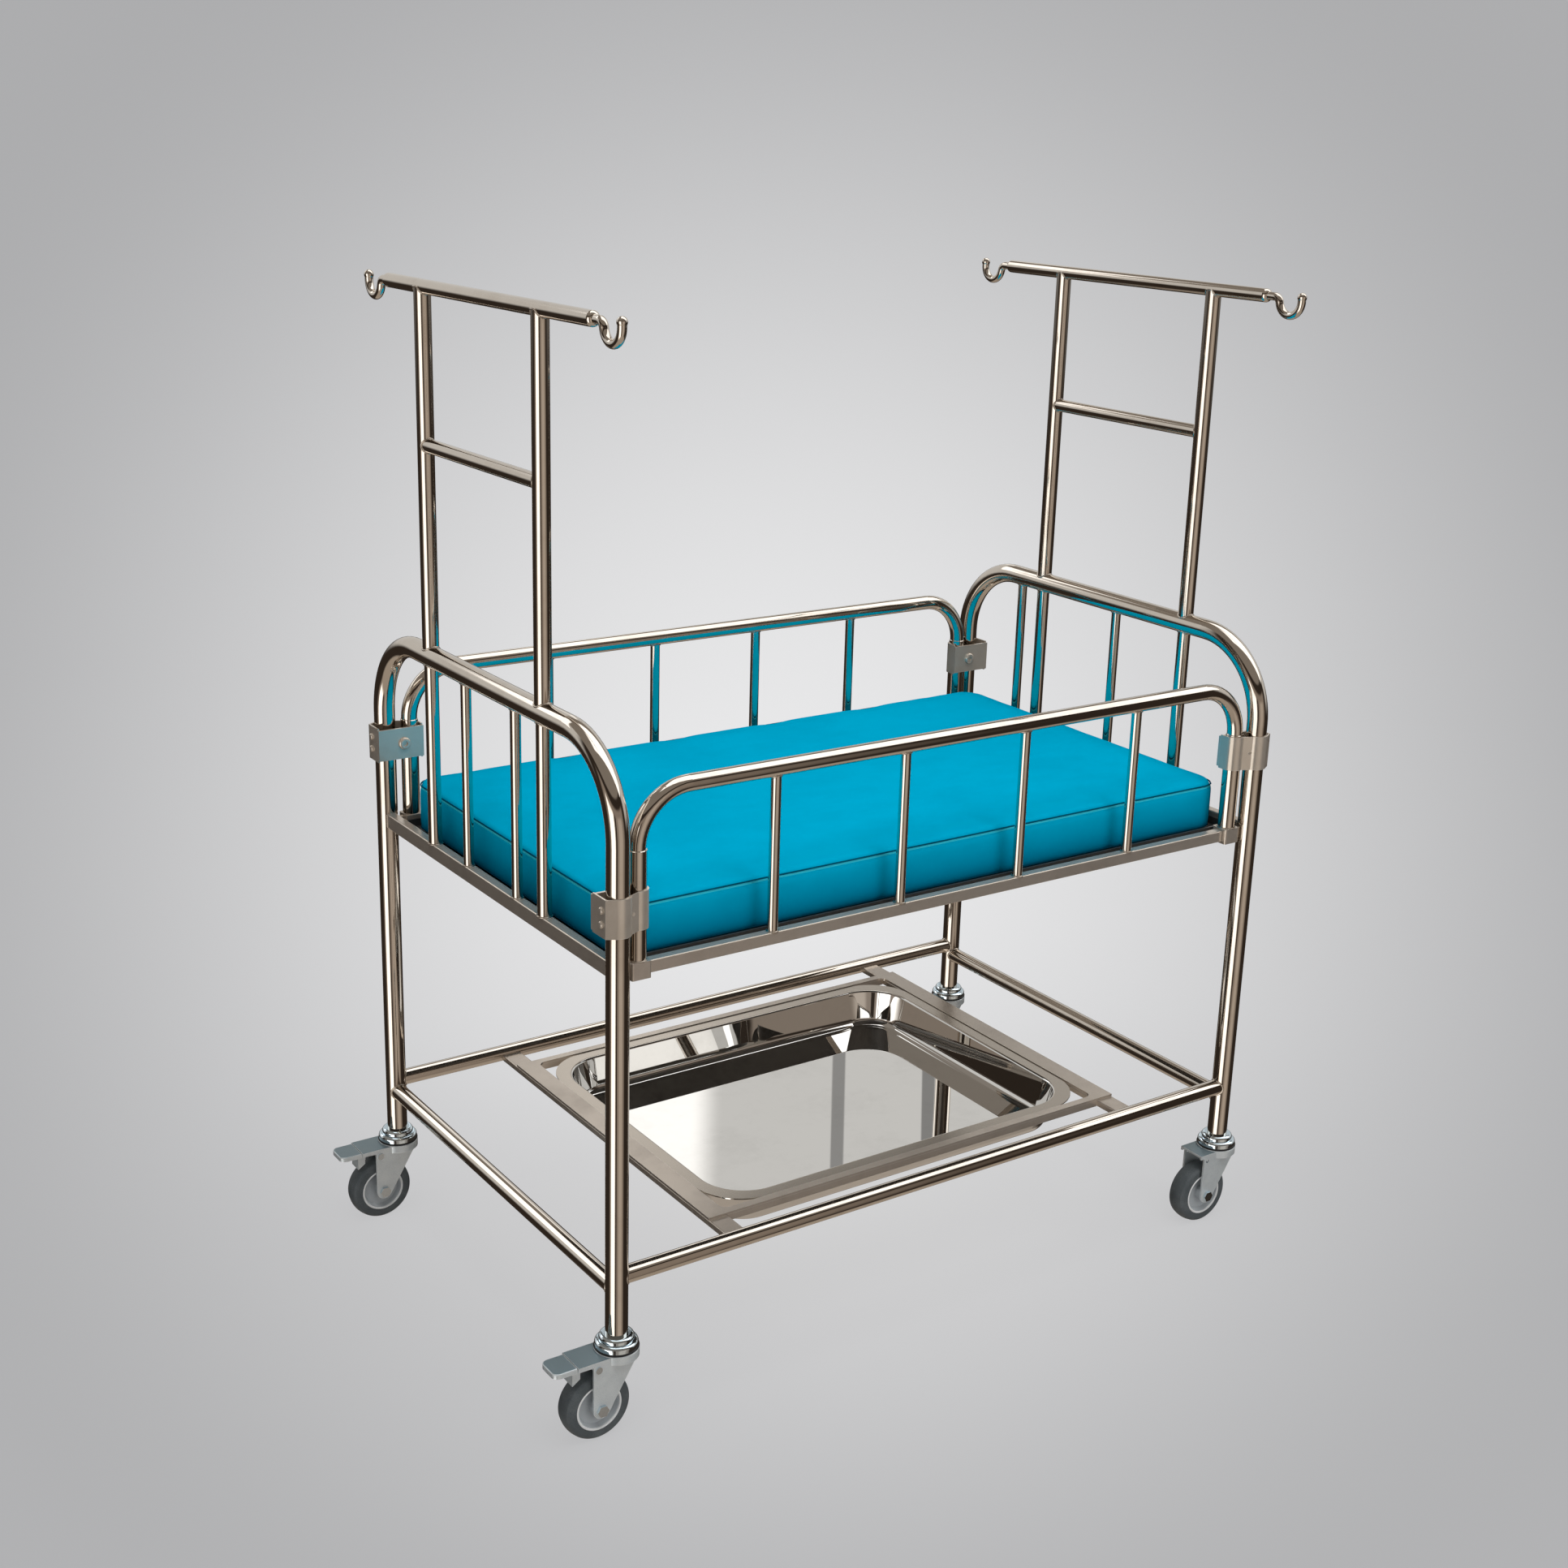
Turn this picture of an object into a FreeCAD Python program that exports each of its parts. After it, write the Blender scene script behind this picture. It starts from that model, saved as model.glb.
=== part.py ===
"""Hospital bassinet: a tubular steel cot on four swivel casters.

Two bent-tube end frames carry a low shelf, a bed deck and an infusion stand each.
Two guard rails stand on bars beside the deck and are clamped to the posts.
A steel tray hangs in a holder on the shelf, and two of the casters have brakes.

Frame: +X along the length, +Y across, +Z up; the origin is on the floor below the
centre of the overall box. Casters trail towards -X. Sizes are millimetres.
"""
import FreeCAD, Part
import math
import os
import sys

import Sketcher
from FreeCAD import Placement, Rotation, Vector

SIZES = {
    # overall frame
    "post_spacing": 900.0,           # post axis to post axis along X
    "post_width": 562.0,             # post axis to post axis along Y
    "post_foot": 117.0,              # foot of the posts above the floor
    "post_dia": 25.0,                # end frame tube
    "post_bore": 20.4,               # bore in the foot that takes the caster stem
    "post_bend": 98.0,               # bend radius of the end frame's top corners
    "end_rail_height": 768.0,        # axis of the end frame's top run
    # lower shelf
    "long_stretcher_height": 183.5,  # axis of the front and rear stretchers
    "short_stretcher_height": 169.5,  # axis of the left and right stretchers
    "stretcher_dia": 20.0,
    "cross_bar_spacing": 582.0,      # middle to middle of the two flat cross bars
    "cross_bar_width": 25.0,
    "cross_bar_depth": 8.0,
    "cross_bar_drop": 7.0,           # underside below the stretcher axis
    "holder_setback": 49.0,          # holder's edge in from the stretcher axis
    "holder_sheet": 3.0,             # sheet that lies on the cross bars
    "holder_rail": 10.0,             # width of the front and rear holder rails
    "holder_ledge": 14.0,            # ledge that carries the tray's rim
    "ledge_corner": 60.0,            # length left open at each corner of the ledge
    "holder_round": 10.0,            # corners of the holder's opening
    "tray_gap": 1.0,                 # rim of the tray to the holder all round
    "tray_rim": 17.0,                # flat rim outside the tray's opening
    "tray_rim_corner": 62.0,         # corner radius of the rim's outline
    "tray_corner": 56.0,             # corner radius of the tray's mouth
    "tray_depth": 46.0,
    "tray_sheet": 1.4,
    "tray_draft": 14.0,              # wall slope in degrees
    "tray_top_round": 3.0,           # rim into wall
    "tray_bottom_round": 11.0,
    "tray_lift": 0.4,                # rim of the tray above its ledge
    # bed deck and its end bars
    "bed_bar_top": 543.0,
    "bed_bar_height": 18.0,
    "bed_bar_depth": 12.0,
    "bar_round": 1.5,                # edge rounding of the flat bars
    "deck_top": 527.0,
    "deck_sheet": 2.0,
    "deck_edge": 11.0,               # height of the turned-up edge
    "deck_gap": 3.5,                 # deck edge to the guards' end blocks
    "deck_corner": 12.0,
    "mattress_thickness": 66.0,
    "mattress_end_gap": 7.0,         # mattress to the end bars' spindles
    "mattress_side_gap": 12.0,       # mattress to the guard spindles
    "mattress_corner": 26.0,
    "mattress_edge": 6.0,
    "mattress_lift": 0.4,            # mattress above the deck
    # bars of the end frames
    "end_spindle_dia": 12.0,
    "stand_bar_dia": 16.0,           # bars below the infusion stand's uprights
    "left_spindle_rear": 57.0,
    "left_spindle_front": 62.0,
    "right_spindle_rear": 168.0,
    "right_spindle_front": 20.0,
    # infusion stands
    "stand_spacing": 270.0,          # upright to upright
    "stand_shift": 10.0,             # middle of the uprights off the middle of the end frame
    "stand_tube_dia": 19.0,
    "stand_mid_height": 1008.0,
    "stand_top_height": 1179.0,
    "stand_cross_dia": 16.0,
    "stand_top_length": 470.0,
    "stand_end_round": 5.0,
    "hook_rod_dia": 9.5,
    "hook_run": 9.0,                 # straight run out of the bar's end
    "hook_neck_bend": 8.0,
    "hook_neck_turn": 78.0,          # how steeply the neck drops, in degrees
    "hook_bend": 17.0,
    "hook_tip_rise": 2.0,            # middle of the ball above the bar's axis
    "hook_ball_dia": 11.0,
    # side guards
    "guard_inset": 9.5,              # guard plane inside the post plane
    "guard_leg_offset": 27.5,        # guard leg beside the post, along X
    "guard_rail_height": 719.0,
    "guard_tube_dia": 19.0,
    "sleeve_dia": 21.0,              # sleeve round each straight guard leg
    "sleeve_lip": 0.6,               # chamfer at the sleeve's top
    "guard_bend": 60.0,
    "guard_spindle_dia": 12.0,
    "front_spindle_pitch": 170.0,
    "rear_spindle_pitch": 155.0,
    "guard_bar_top": 537.0,
    "guard_bar_height": 14.0,
    "guard_bar_depth": 12.0,
    "block_width": 23.0,
    "block_height": 19.0,
    "block_round": 2.0,
    "lug_height": 12.0,
    "lug_depth": 6.0,
    "lug_offset": 2.3,               # lug outside the guard plane, clear of the bed bar
    "bar_joint_gap": 0.8,            # seam between a guard bar and its end block
    # corner clamps
    "clamp_height": 42.0,
    "clamp_sheet": 2.0,
    "clamp_standoff": 3.5,           # flat flank of the strip to the post
    "clamp_plate_sheet": 3.0,
    "clamp_plate_height": 38.0,
    "clamp_middle_front_left": 596.0,
    "clamp_middle_front_right": 636.0,
    "clamp_middle_rear": 633.0,
    "clamp_bolt_dia": 4.0,
    "clamp_bolt_reach": 6.0,         # end of the bolt beyond the post axis
    "clamp_bolt_head": 15.0,
    "clamp_bolt_head_rise": 3.6,
    "clamp_socket": 7.0,             # across the corners of the bolt's socket
    "clamp_screw_dia": 4.0,
    "clamp_screw_head": 8.0,
    "clamp_screw_head_rise": 2.4,
    "clamp_screw_pitch": 15.0,
    # casters
    "wheel_dia": 80.0,
    "wheel_width": 25.0,
    "tyre_inner_dia": 54.0,
    "tyre_shoulder": 5.0,
    "tread_crown": 1.2,              # how far the tread domes out at its middle
    "rim_depth": 5.0,                # rim of the wheel centre inside the tyre
    "rim_lip": 3.0,
    "rim_setback": 1.0,              # rim's face in from the tyre's side
    "hub_dia": 18.0,
    "hub_clearance": 0.5,            # hub end to the fork cheek
    "axle_dia": 8.0,
    "axle_clearance": 0.05,
    "axle_nut": 14.0,                # across corners
    "axle_nut_rise": 4.0,
    "trail": 28.0,                   # axle behind the swivel axis
    "fork_sheet": 2.5,
    "fork_width": 37.0,              # outside the cheeks at the axle
    "fork_lug": 10.0,                # radius of the cheek's end round the axle
    "crown_dia": 50.0,
    "crown_top": 101.0,
    "crown_depth": 10.0,             # depth of the round crown at its back
    "hood_drop": 1.0,                # hood below the top of the crown
    "hood_end": 44.0,                # open hood ahead of the swivel axis
    "cheek_front": 14.0,             # cheek's front corner under the crown
    "race_gap": 2.0,                 # crown to bearing cap
    "race_clearance": 0.3,
    "race_dia": 40.0,
    "cap_dia": 48.0,
    "cap_neck_dia": 39.0,
    "cap_skirt": 7.5,                # height of the cap's wider ring
    "cap_skirt_round": 4.2,
    "cap_neck_round": 4.2,
    "race_height": 4.5,
    "race_wall": 3.0,
    "kingpin_dia": 12.0,
    "kingpin_clearance": 0.06,
    "kingpin_head_dia": 18.0,
    "kingpin_head_rise": 3.5,
    "stem_dia": 20.0,
    "stem_length": 42.0,
    "stem_point": 2.0,               # chamfer at the top of the stem
    # brake
    "brake_hood_end": 56.0,
    "hood_lip": 5.0,
    "pedal_reach": 84.0,             # pedal tip from the swivel axis
    "pedal_gap": 1.2,                # hood to pedal tip
    "pedal_sheet": 2.5,
    "pedal_lip": 6.0,
    "pedal_width": 33.0,
    "pedal_pin_dia": 5.0,
    "pedal_pin_back": 32.0,          # pin behind the swivel axis
    "pedal_pin_height": 90.5,
    "pedal_pin_clearance": 0.06,
    "pedal_pin_head": 8.0,
    "pedal_pin_head_rise": 1.5,
    "pedal_barrel_dia": 9.0,
    "pedal_barrel_length": 30.0,
    "pedal_arm_width": 22.0,
    "pedal_arm_depth": 3.0,
    "pedal_arm_gap": 1.0,            # arm below the hood
    "pedal_heel": 8.0,               # where the arm carries the tread plate
    "pedal_corner": 8.0,
    "shoe_gap": 6.8,                 # brake shoe to the tyre when released
    "shoe_width": 20.0,
}

ENDS = {"left": -1, "right": 1}
SIDES = {"front": -1, "rear": 1}
BRAKED = ("left",)

doc = FreeCAD.newDocument("bassinet")
sheet = doc.addObject("Spreadsheet::Sheet", "Dims")


class Size:
    """A length with the spreadsheet expression that gives it."""

    def __init__(self, value, text):
        self.value = value
        self.text = text

    def _join(self, sign, left, right, value):
        return Size(value, "(" + text_of(left) + " " + sign + " " + text_of(right) + ")")

    def __add__(self, other):
        return self._join("+", self, other, self.value + float(other))

    def __radd__(self, other):
        return self._join("+", other, self, float(other) + self.value)

    def __sub__(self, other):
        return self._join("-", self, other, self.value - float(other))

    def __rsub__(self, other):
        return self._join("-", other, self, float(other) - self.value)

    def __mul__(self, other):
        return self._join("*", self, other, self.value * float(other))

    def __rmul__(self, other):
        return self._join("*", other, self, float(other) * self.value)

    def __truediv__(self, other):
        return self._join("/", self, other, self.value / float(other))

    def __neg__(self):
        return self * -1.0

    def __float__(self):
        return self.value


def text_of(size):
    """The spreadsheet expression of a size, or the plain number."""
    if isinstance(size, Size):
        return size.text
    return "(" + repr(float(size)) + ")"


def fill_sheet():
    """Write every driving dimension into the spreadsheet under its own alias."""
    for row, (alias, value) in enumerate(SIZES.items(), start=1):
        sheet.set("A%d" % row, alias)
        sheet.set("B%d" % row, repr(value))
        sheet.setAlias("B%d" % row, alias)
    doc.recompute()


def dim(alias):
    """The driving dimension of that name."""
    return Size(float(sheet.get(alias)), "Dims." + alias)


def bind(thing, **sizes):
    """Bind the properties of an object to sizes."""
    for name, size in sizes.items():
        thing.setExpression(name, text_of(size))
    return thing


def place(thing, x=0.0, y=0.0, z=0.0, rotation=None):
    """Put an object at a point of the part's frame."""
    if rotation is not None:
        thing.Placement = Placement(Vector(0, 0, 0), rotation)
    thing.setExpression("Placement.Base.x", text_of(x + dim("pedal_reach") / 2 - dim("crown_dia") / 4))
    thing.setExpression("Placement.Base.y", text_of(y))
    thing.setExpression("Placement.Base.z", text_of(z))
    return thing


ALONG_X = Rotation(Vector(0, 1, 0), 90)
ALONG_Y = Rotation(Vector(1, 0, 0), -90)
ALONG_Z = Rotation()


def cylinder(name, dia, length, x, y, z, rotation=ALONG_Z):
    """A round bar that starts at a point and runs along one axis."""
    rod = doc.addObject("Part::Cylinder", name)
    bind(rod, Radius=dia / 2, Height=length)
    return place(rod, x, y, z, rotation)


def box(name, length, width, height, x, y, z):
    """A block centred on x and y with its underside at z."""
    block = doc.addObject("Part::Box", name)
    bind(block, Length=length, Width=width, Height=height)
    return place(block, x - length / 2, y - width / 2, z)


def fuse(name, things):
    """One object of several shapes; shapes that don't touch stay separate solids."""
    if len(things) == 1:
        return things[0]
    group = doc.addObject("Part::MultiFuse", name)
    group.Shapes = things
    group.Refine = True
    return group


def cut(name, base, tools):
    """A shape less others, as a saddle is cut in a tube."""
    result = doc.addObject("Part::Cut", name)
    result.Base = base
    result.Tool = fuse(name + "_tools", tools)
    result.Refine = True
    return result


def round_edges(name, base, radius, chosen):
    """Round the edges of a shape that the test chooses."""
    doc.recompute()
    edges = []
    for number, edge in enumerate(base.Shape.Edges, start=1):
        if chosen(edge):
            edges.append((number, float(radius), float(radius)))
    fillet = doc.addObject("Part::Fillet", name)
    fillet.Base = base
    fillet.Edges = edges
    return fillet


def edge_runs(edge, axis):
    """Whether a straight edge runs along an axis."""
    if edge.Curve.TypeId != "Part::GeomLine":
        return False
    direction = edge.Vertexes[-1].Point - edge.Vertexes[0].Point
    return abs(abs(direction.normalize().dot(axis)) - 1.0) < 1e-6


def rounded_bar(name, length, width, height, x, y, z, axis):
    """A flat bar with its long edges rounded."""
    blank = box(name + "_blank", length, width, height, x, y, z)
    return round_edges(name, blank, dim("bar_round"), lambda edge: edge_runs(edge, axis))


# ---------------------------------------------------------------- sketches

def new_body(name):
    """An empty PartDesign body."""
    return doc.addObject("PartDesign::Body", name)


def new_sketch(body, name, role, offset=None):
    """A sketch on one of the body's own origin planes."""
    sketch = body.newObject("Sketcher::SketchObject", name)
    plane = next(item for item in body.Origin.OriginFeatures if item.Role == role)
    sketch.AttachmentSupport = [(plane, "")]
    sketch.MapMode = "FlatFace"
    if offset is not None:
        sketch.setExpression("AttachmentOffset.Base.z", text_of(offset))
    return sketch


def pin_point(sketch, geometry, end, x, y):
    """Hold one end of a sketch line at a place bound to the sheet."""
    for kind, size in (("DistanceX", x), ("DistanceY", y)):
        number = sketch.addConstraint(
            Sketcher.Constraint(kind, -1, 1, geometry, end, float(size)))
        if isinstance(size, Size):
            sketch.setExpression("Constraints[%d]" % number, size.text)


def arc_between(start, finish, radius, turn):
    """The arc of under half a turn between two points; turn is 1 for left, -1 for right."""
    middle = (start + finish) * 0.5
    chord = finish - start
    reach = math.sqrt(max(radius * radius - chord.Length * chord.Length / 4, 0.0))
    left = Vector(-chord.y, chord.x, 0).normalize()
    centre = middle + left * (reach * turn)
    first, last = (start, finish) if turn > 0 else (finish, start)
    low = math.atan2(first.y - centre.y, first.x - centre.x)
    high = math.atan2(last.y - centre.y, last.x - centre.x)
    if high <= low:
        high += 2 * math.pi
    circle = Part.Circle(centre, Vector(0, 0, 1), radius)
    return Part.ArcOfCircle(circle, low, high)


def draw(sketch, points, closed=True):
    """Draw an outline of lines and arcs through points.

    A point is (x, y) where a line arrives, or (x, y, radius, turn) where an arc does.
    """
    count = len(points)
    spans = count if closed else count - 1
    ends = []
    for span in range(spans):
        here = points[span]
        after = points[(span + 1) % count]
        start = Vector(float(here[0]), float(here[1]), 0)
        finish = Vector(float(after[0]), float(after[1]), 0)
        if len(after) == 2:
            number = sketch.addGeometry(Part.LineSegment(start, finish))
            ends.append((number, 1, 2))
            continue
        number = sketch.addGeometry(arc_between(start, finish, float(after[2]), after[3]))
        ends.append((number, 1, 2) if after[3] > 0 else (number, 2, 1))
        held = sketch.addConstraint(Sketcher.Constraint("Radius", number, float(after[2])))
        if isinstance(after[2], Size):
            sketch.setExpression("Constraints[%d]" % held, after[2].text)
    for span in range(spans):
        geometry, first, last = ends[span]
        pin_point(sketch, geometry, first, points[span][0], points[span][1])
        if span + 1 < spans or closed:
            following = ends[(span + 1) % spans]
            sketch.addConstraint(
                Sketcher.Constraint("Coincident", geometry, last, following[0], following[1]))
        else:
            pin_point(sketch, geometry, last, points[-1][0], points[-1][1])
    return sketch


def draw_circle(sketch, dia, x=0.0, y=0.0):
    """Draw a circle of a bound diameter."""
    centre = Vector(float(x), float(y), 0)
    number = sketch.addGeometry(Part.Circle(centre, Vector(0, 0, 1), float(dia) / 2))
    held = sketch.addConstraint(Sketcher.Constraint("Diameter", number, float(dia)))
    sketch.setExpression("Constraints[%d]" % held, text_of(dia))
    pin_point(sketch, number, 3, x, y)
    return sketch


def rounded_rectangle(half_x, half_y, radius):
    """Outline points of a rectangle with round corners, turning left."""
    return [
        (half_x, radius - half_y, radius, 1),
        (half_x, half_y - radius),
        (half_x - radius, half_y, radius, 1),
        (radius - half_x, half_y),
        (-half_x, half_y - radius, radius, 1),
        (-half_x, radius - half_y),
        (radius - half_x, -half_y, radius, 1),
        (half_x - radius, -half_y),
    ]


def pad(body, name, sketch, length, downwards=False, both_ways=False, draft=None):
    """Pad a sketch by a bound length."""
    feature = body.newObject("PartDesign::Pad", name)
    feature.Profile = sketch
    feature.Reversed = downwards
    feature.Midplane = both_ways
    bind(feature, Length=length)
    if draft is not None:
        bind(feature, TaperAngle=draft)
    return feature


def pocket(body, name, sketch, length, upwards=False, both_ways=False, draft=None):
    """Cut a sketch out of the body by a bound depth, and see that it cuts."""
    doc.recompute()
    before = body.Shape.Volume
    feature = body.newObject("PartDesign::Pocket", name)
    feature.Profile = sketch
    feature.Reversed = upwards
    feature.Midplane = both_ways
    bind(feature, Length=length)
    if draft is not None:
        bind(feature, TaperAngle=draft)
    doc.recompute()
    if body.Shape.Volume > before - 1e-3:
        sys.exit(name + " cuts nothing")
    return feature


def turn_profile(body, name, sketch, axis):
    """Revolve a sketch all the way round one of its own axes."""
    feature = body.newObject("PartDesign::Revolution", name)
    feature.Profile = sketch
    feature.ReferenceAxis = (sketch, [axis])
    feature.Angle = 360.0
    return feature


def dress(body, kind, name, size, chosen):
    """Fillet or chamfer the edges of the body's last feature that the test chooses."""
    doc.recompute()
    tip = body.Tip
    names = ["Edge%d" % number for number, edge in enumerate(tip.Shape.Edges, start=1) if chosen(edge)]
    feature = body.newObject("PartDesign::" + kind, name)
    feature.Base = (tip, names)
    if kind == "Fillet":
        bind(feature, Radius=size)
    else:
        bind(feature, Size=size)
    return feature


def is_level(edge, height):
    """Whether an edge lies flat at the given height."""
    box = edge.BoundBox
    return box.ZLength < 0.01 and abs(box.ZMax - height) < 0.01


def lies_within(edge, half_x, half_y):
    """Whether an edge lies inside a rectangle about the middle."""
    box = edge.BoundBox
    return max(box.XMax, -box.XMin) < float(half_x) + 0.2 and max(box.YMax, -box.YMin) < float(half_y) + 0.2


def sweep(body, name, profile, path, spans):
    """Sweep a profile along the lines and arcs of a path sketch."""
    feature = body.newObject("PartDesign::AdditivePipe", name)
    feature.Profile = profile
    feature.Spine = (path, ["Edge%d" % (number + 1) for number in range(spans)])
    return feature


OVERCUT = 1.0  # how far a cut or a joined piece runs past the face that it meets
nodes = {}


def keep(node, thing):
    """Make an object a sub-part of the assembly under its own name."""
    thing.Label = node
    nodes[node] = thing
    return thing


fill_sheet()

# ---------------------------------------------------------------- shared places

POST_X = dim("post_spacing") / 2
POST_Y = dim("post_width") / 2
POST_R = dim("post_dia") / 2
GUARD_Y = POST_Y - dim("guard_inset")
LEG_X = POST_X - dim("guard_leg_offset")
BED_BAR_FLOOR = dim("bed_bar_top") - dim("bed_bar_height")
BLOCK_TOP = dim("guard_bar_top") - dim("guard_bar_height") / 2 + dim("block_height") / 2
CROSS_BAR_FLOOR = dim("long_stretcher_height") - dim("cross_bar_drop")
CROSS_BAR_TOP = CROSS_BAR_FLOOR + dim("cross_bar_depth")
CROSS_BAR_X = dim("cross_bar_spacing") / 2
HOLDER_X = CROSS_BAR_X + dim("cross_bar_width") / 2
HOLDER_Y = POST_Y - dim("holder_setback")


def stand_y(end, side):
    """Place of one upright along Y; the two ends are one design, turned half round."""
    return dim("stand_spacing") * (side * 0.5) - dim("stand_shift") * end


def post_envelope(name, end, side):
    """The outside of one post, for the saddles of what is welded to it."""
    start = dim("post_foot")
    return cylinder(name, dim("post_dia"), dim("end_rail_height") - dim("post_bend") - start,
                    POST_X * end, POST_Y * side, start)


# ---------------------------------------------------------------- end frames

def end_frame_tube(label, end):
    """One tube bent to an inverted U: two posts and the top rail between them."""
    body = new_body("end_frame_" + label)
    top = dim("end_rail_height") - dim("post_foot")
    bend = dim("post_bend")
    path = draw(new_sketch(body, "end_path_" + label, "YZ_Plane"), [
        (-POST_Y, 0.0),
        (-POST_Y, top - bend),
        (bend - POST_Y, top, bend, -1),
        (POST_Y - bend, top),
        (POST_Y, top - bend, bend, -1),
        (POST_Y, 0.0),
    ], closed=False)
    ring = draw_circle(new_sketch(body, "end_ring_" + label, "XY_Plane"), dim("post_dia"), 0.0, -POST_Y)
    sweep(body, "end_bend_" + label, ring, path, 5)
    bores = new_sketch(body, "foot_bores_" + label, "XY_Plane")
    for side in SIDES.values():
        draw_circle(bores, dim("post_bore"), 0.0, POST_Y * side)
    pocket(body, "foot_bore_cut_" + label, bores, dim("stem_length") + OVERCUT, upwards=True)
    place(body, POST_X * end, 0.0, dim("post_foot"))
    return keep("end_frame_tube_" + label, body)


def rail_envelope(name, end):
    """The outside of an end frame's top rail."""
    return cylinder(name, dim("post_dia"), POST_Y * 2, POST_X * end, -POST_Y, dim("end_rail_height"), ALONG_Y)


def bed_end_bar(label, end):
    """Flat bar between the posts at deck height, saddled to both."""
    bar = rounded_bar("bed_bar_" + label, dim("bed_bar_depth"), POST_Y * 2, dim("bed_bar_height"),
                      POST_X * end, 0.0, BED_BAR_FLOOR, Vector(0, 1, 0))
    posts = [post_envelope("bed_bar_post_%s_%s" % (label, side_label), end, side)
             for side_label, side in SIDES.items()]
    return keep("bed_end_bar_" + label, cut("bed_bar_saddled_" + label, bar, posts))


def end_spindles(label, end):
    """Two thin spindles and the two bars in line with the infusion stand."""
    floor = dim("bed_bar_top")
    length = dim("end_rail_height") - floor
    thin = dim("end_spindle_dia")
    thick = dim("stand_bar_dia")
    rods = []
    for name, dia, y in (
        ("spindle_rear_", thin, dim(label + "_spindle_rear")),
        ("spindle_front_", thin, -dim(label + "_spindle_front")),
        ("stand_bar_rear_", thick, stand_y(end, SIDES["rear"])),
        ("stand_bar_front_", thick, stand_y(end, SIDES["front"])),
    ):
        rods.append(cylinder(name + label, dia, length, POST_X * end, y, floor))
    group = fuse("end_rods_" + label, rods)
    saddled = cut("end_rods_saddled_" + label, group, [rail_envelope("spindle_rail_" + label, end)])
    return keep("end_spindles_" + label, saddled)


# ---------------------------------------------------------------- infusion stands

def stand_uprights(label, end):
    """Two uprights saddled on the end rail and notched for the top bar."""
    floor = dim("end_rail_height")
    top = dim("stand_top_height")
    rods = [cylinder("upright_%s_%s" % (label, side_label), dim("stand_tube_dia"), top - floor,
                     POST_X * end, stand_y(end, side), floor) for side_label, side in SIDES.items()]
    tools = [
        rail_envelope("upright_rail_" + label, end),
        cylinder("upright_notch_" + label, dim("stand_cross_dia"), POST_Y * 2,
                 POST_X * end, -POST_Y, top, ALONG_Y),
    ]
    pair = fuse("upright_pair_" + label, rods)
    return keep("stand_uprights_" + label, cut("uprights_" + label, pair, tools))


def stand_mid_bar(label, end):
    """Cross bar between the uprights, saddled to both."""
    height = dim("stand_mid_height")
    rod = cylinder("mid_rod_" + label, dim("stand_cross_dia"), dim("stand_spacing"),
                   POST_X * end, stand_y(end, SIDES["front"]), height, ALONG_Y)
    posts = [cylinder("mid_saddle_%s_%s" % (label, side_label), dim("stand_tube_dia"),
                      dim("stand_tube_dia") * 2, POST_X * end, stand_y(end, side),
                      height - dim("stand_tube_dia")) for side_label, side in SIDES.items()]
    return keep("stand_mid_bar_" + label, cut("mid_bar_" + label, rod, posts))


def stand_top_bar(label, end):
    """Top bar with closed, rounded ends."""
    body = new_body("top_bar_" + label)
    ring = draw_circle(new_sketch(body, "top_ring_" + label, "XZ_Plane"), dim("stand_cross_dia"))
    pad(body, "top_run_" + label, ring, dim("stand_top_length"), both_ways=True)
    dress(body, "Fillet", "top_ends_" + label, dim("stand_end_round"),
          lambda edge: edge.Curve.TypeId == "Part::GeomCircle")
    place(body, POST_X * end, 0.0, dim("stand_top_height"))
    return keep("stand_top_bar_" + label, body)


def stand_hook(label, end, side_label, side):
    """One swan-neck hook: out of the bar's end, steeply down, and up again to a ball."""
    name = "%s_%s" % (label, side_label)
    body = new_body("hook_" + name)
    neck = dim("hook_neck_bend")
    bend = dim("hook_bend")
    sine = math.sin(math.radians(float(dim("hook_neck_turn"))))
    fall = 1.0 - math.cos(math.radians(float(dim("hook_neck_turn"))))
    root = dim("stand_top_length") / 2
    out = root + dim("hook_run")
    bottom = out + (neck + bend) * sine
    tip = bottom + bend
    path = draw(new_sketch(body, "hook_path_" + name, "YZ_Plane"), [
        (root, 0.0),
        (out, 0.0),
        (out + neck * sine, neck * -fall, neck, -1),
        (bottom, (neck + bend) * -fall, bend, 1),
        (tip, bend - (neck + bend) * fall, bend, 1),
        (tip, dim("hook_tip_rise")),
    ], closed=False)
    ring = draw_circle(new_sketch(body, "hook_ring_" + name, "XZ_Plane", -root), dim("hook_rod_dia"))
    sweep(body, "hook_rod_" + name, ring, path, 5)
    rotation = Rotation() if side > 0 else Rotation(Vector(0, 0, 1), 180)
    place(body, POST_X * end, 0.0, dim("stand_top_height"), rotation)
    ball = doc.addObject("Part::Sphere", "hook_ball_" + name)
    bind(ball, Radius=dim("hook_ball_dia") / 2)
    place(ball, POST_X * end, tip * side, dim("stand_top_height") + dim("hook_tip_rise"))
    return fuse("hook_and_ball_" + name, [body, ball])


def stand_hooks(label, end):
    """Both hooks of one stand."""
    pair = [stand_hook(label, end, side_label, side) for side_label, side in SIDES.items()]
    return keep("stand_hooks_" + label, fuse("hooks_" + label, pair))


# ---------------------------------------------------------------- side guards

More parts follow.
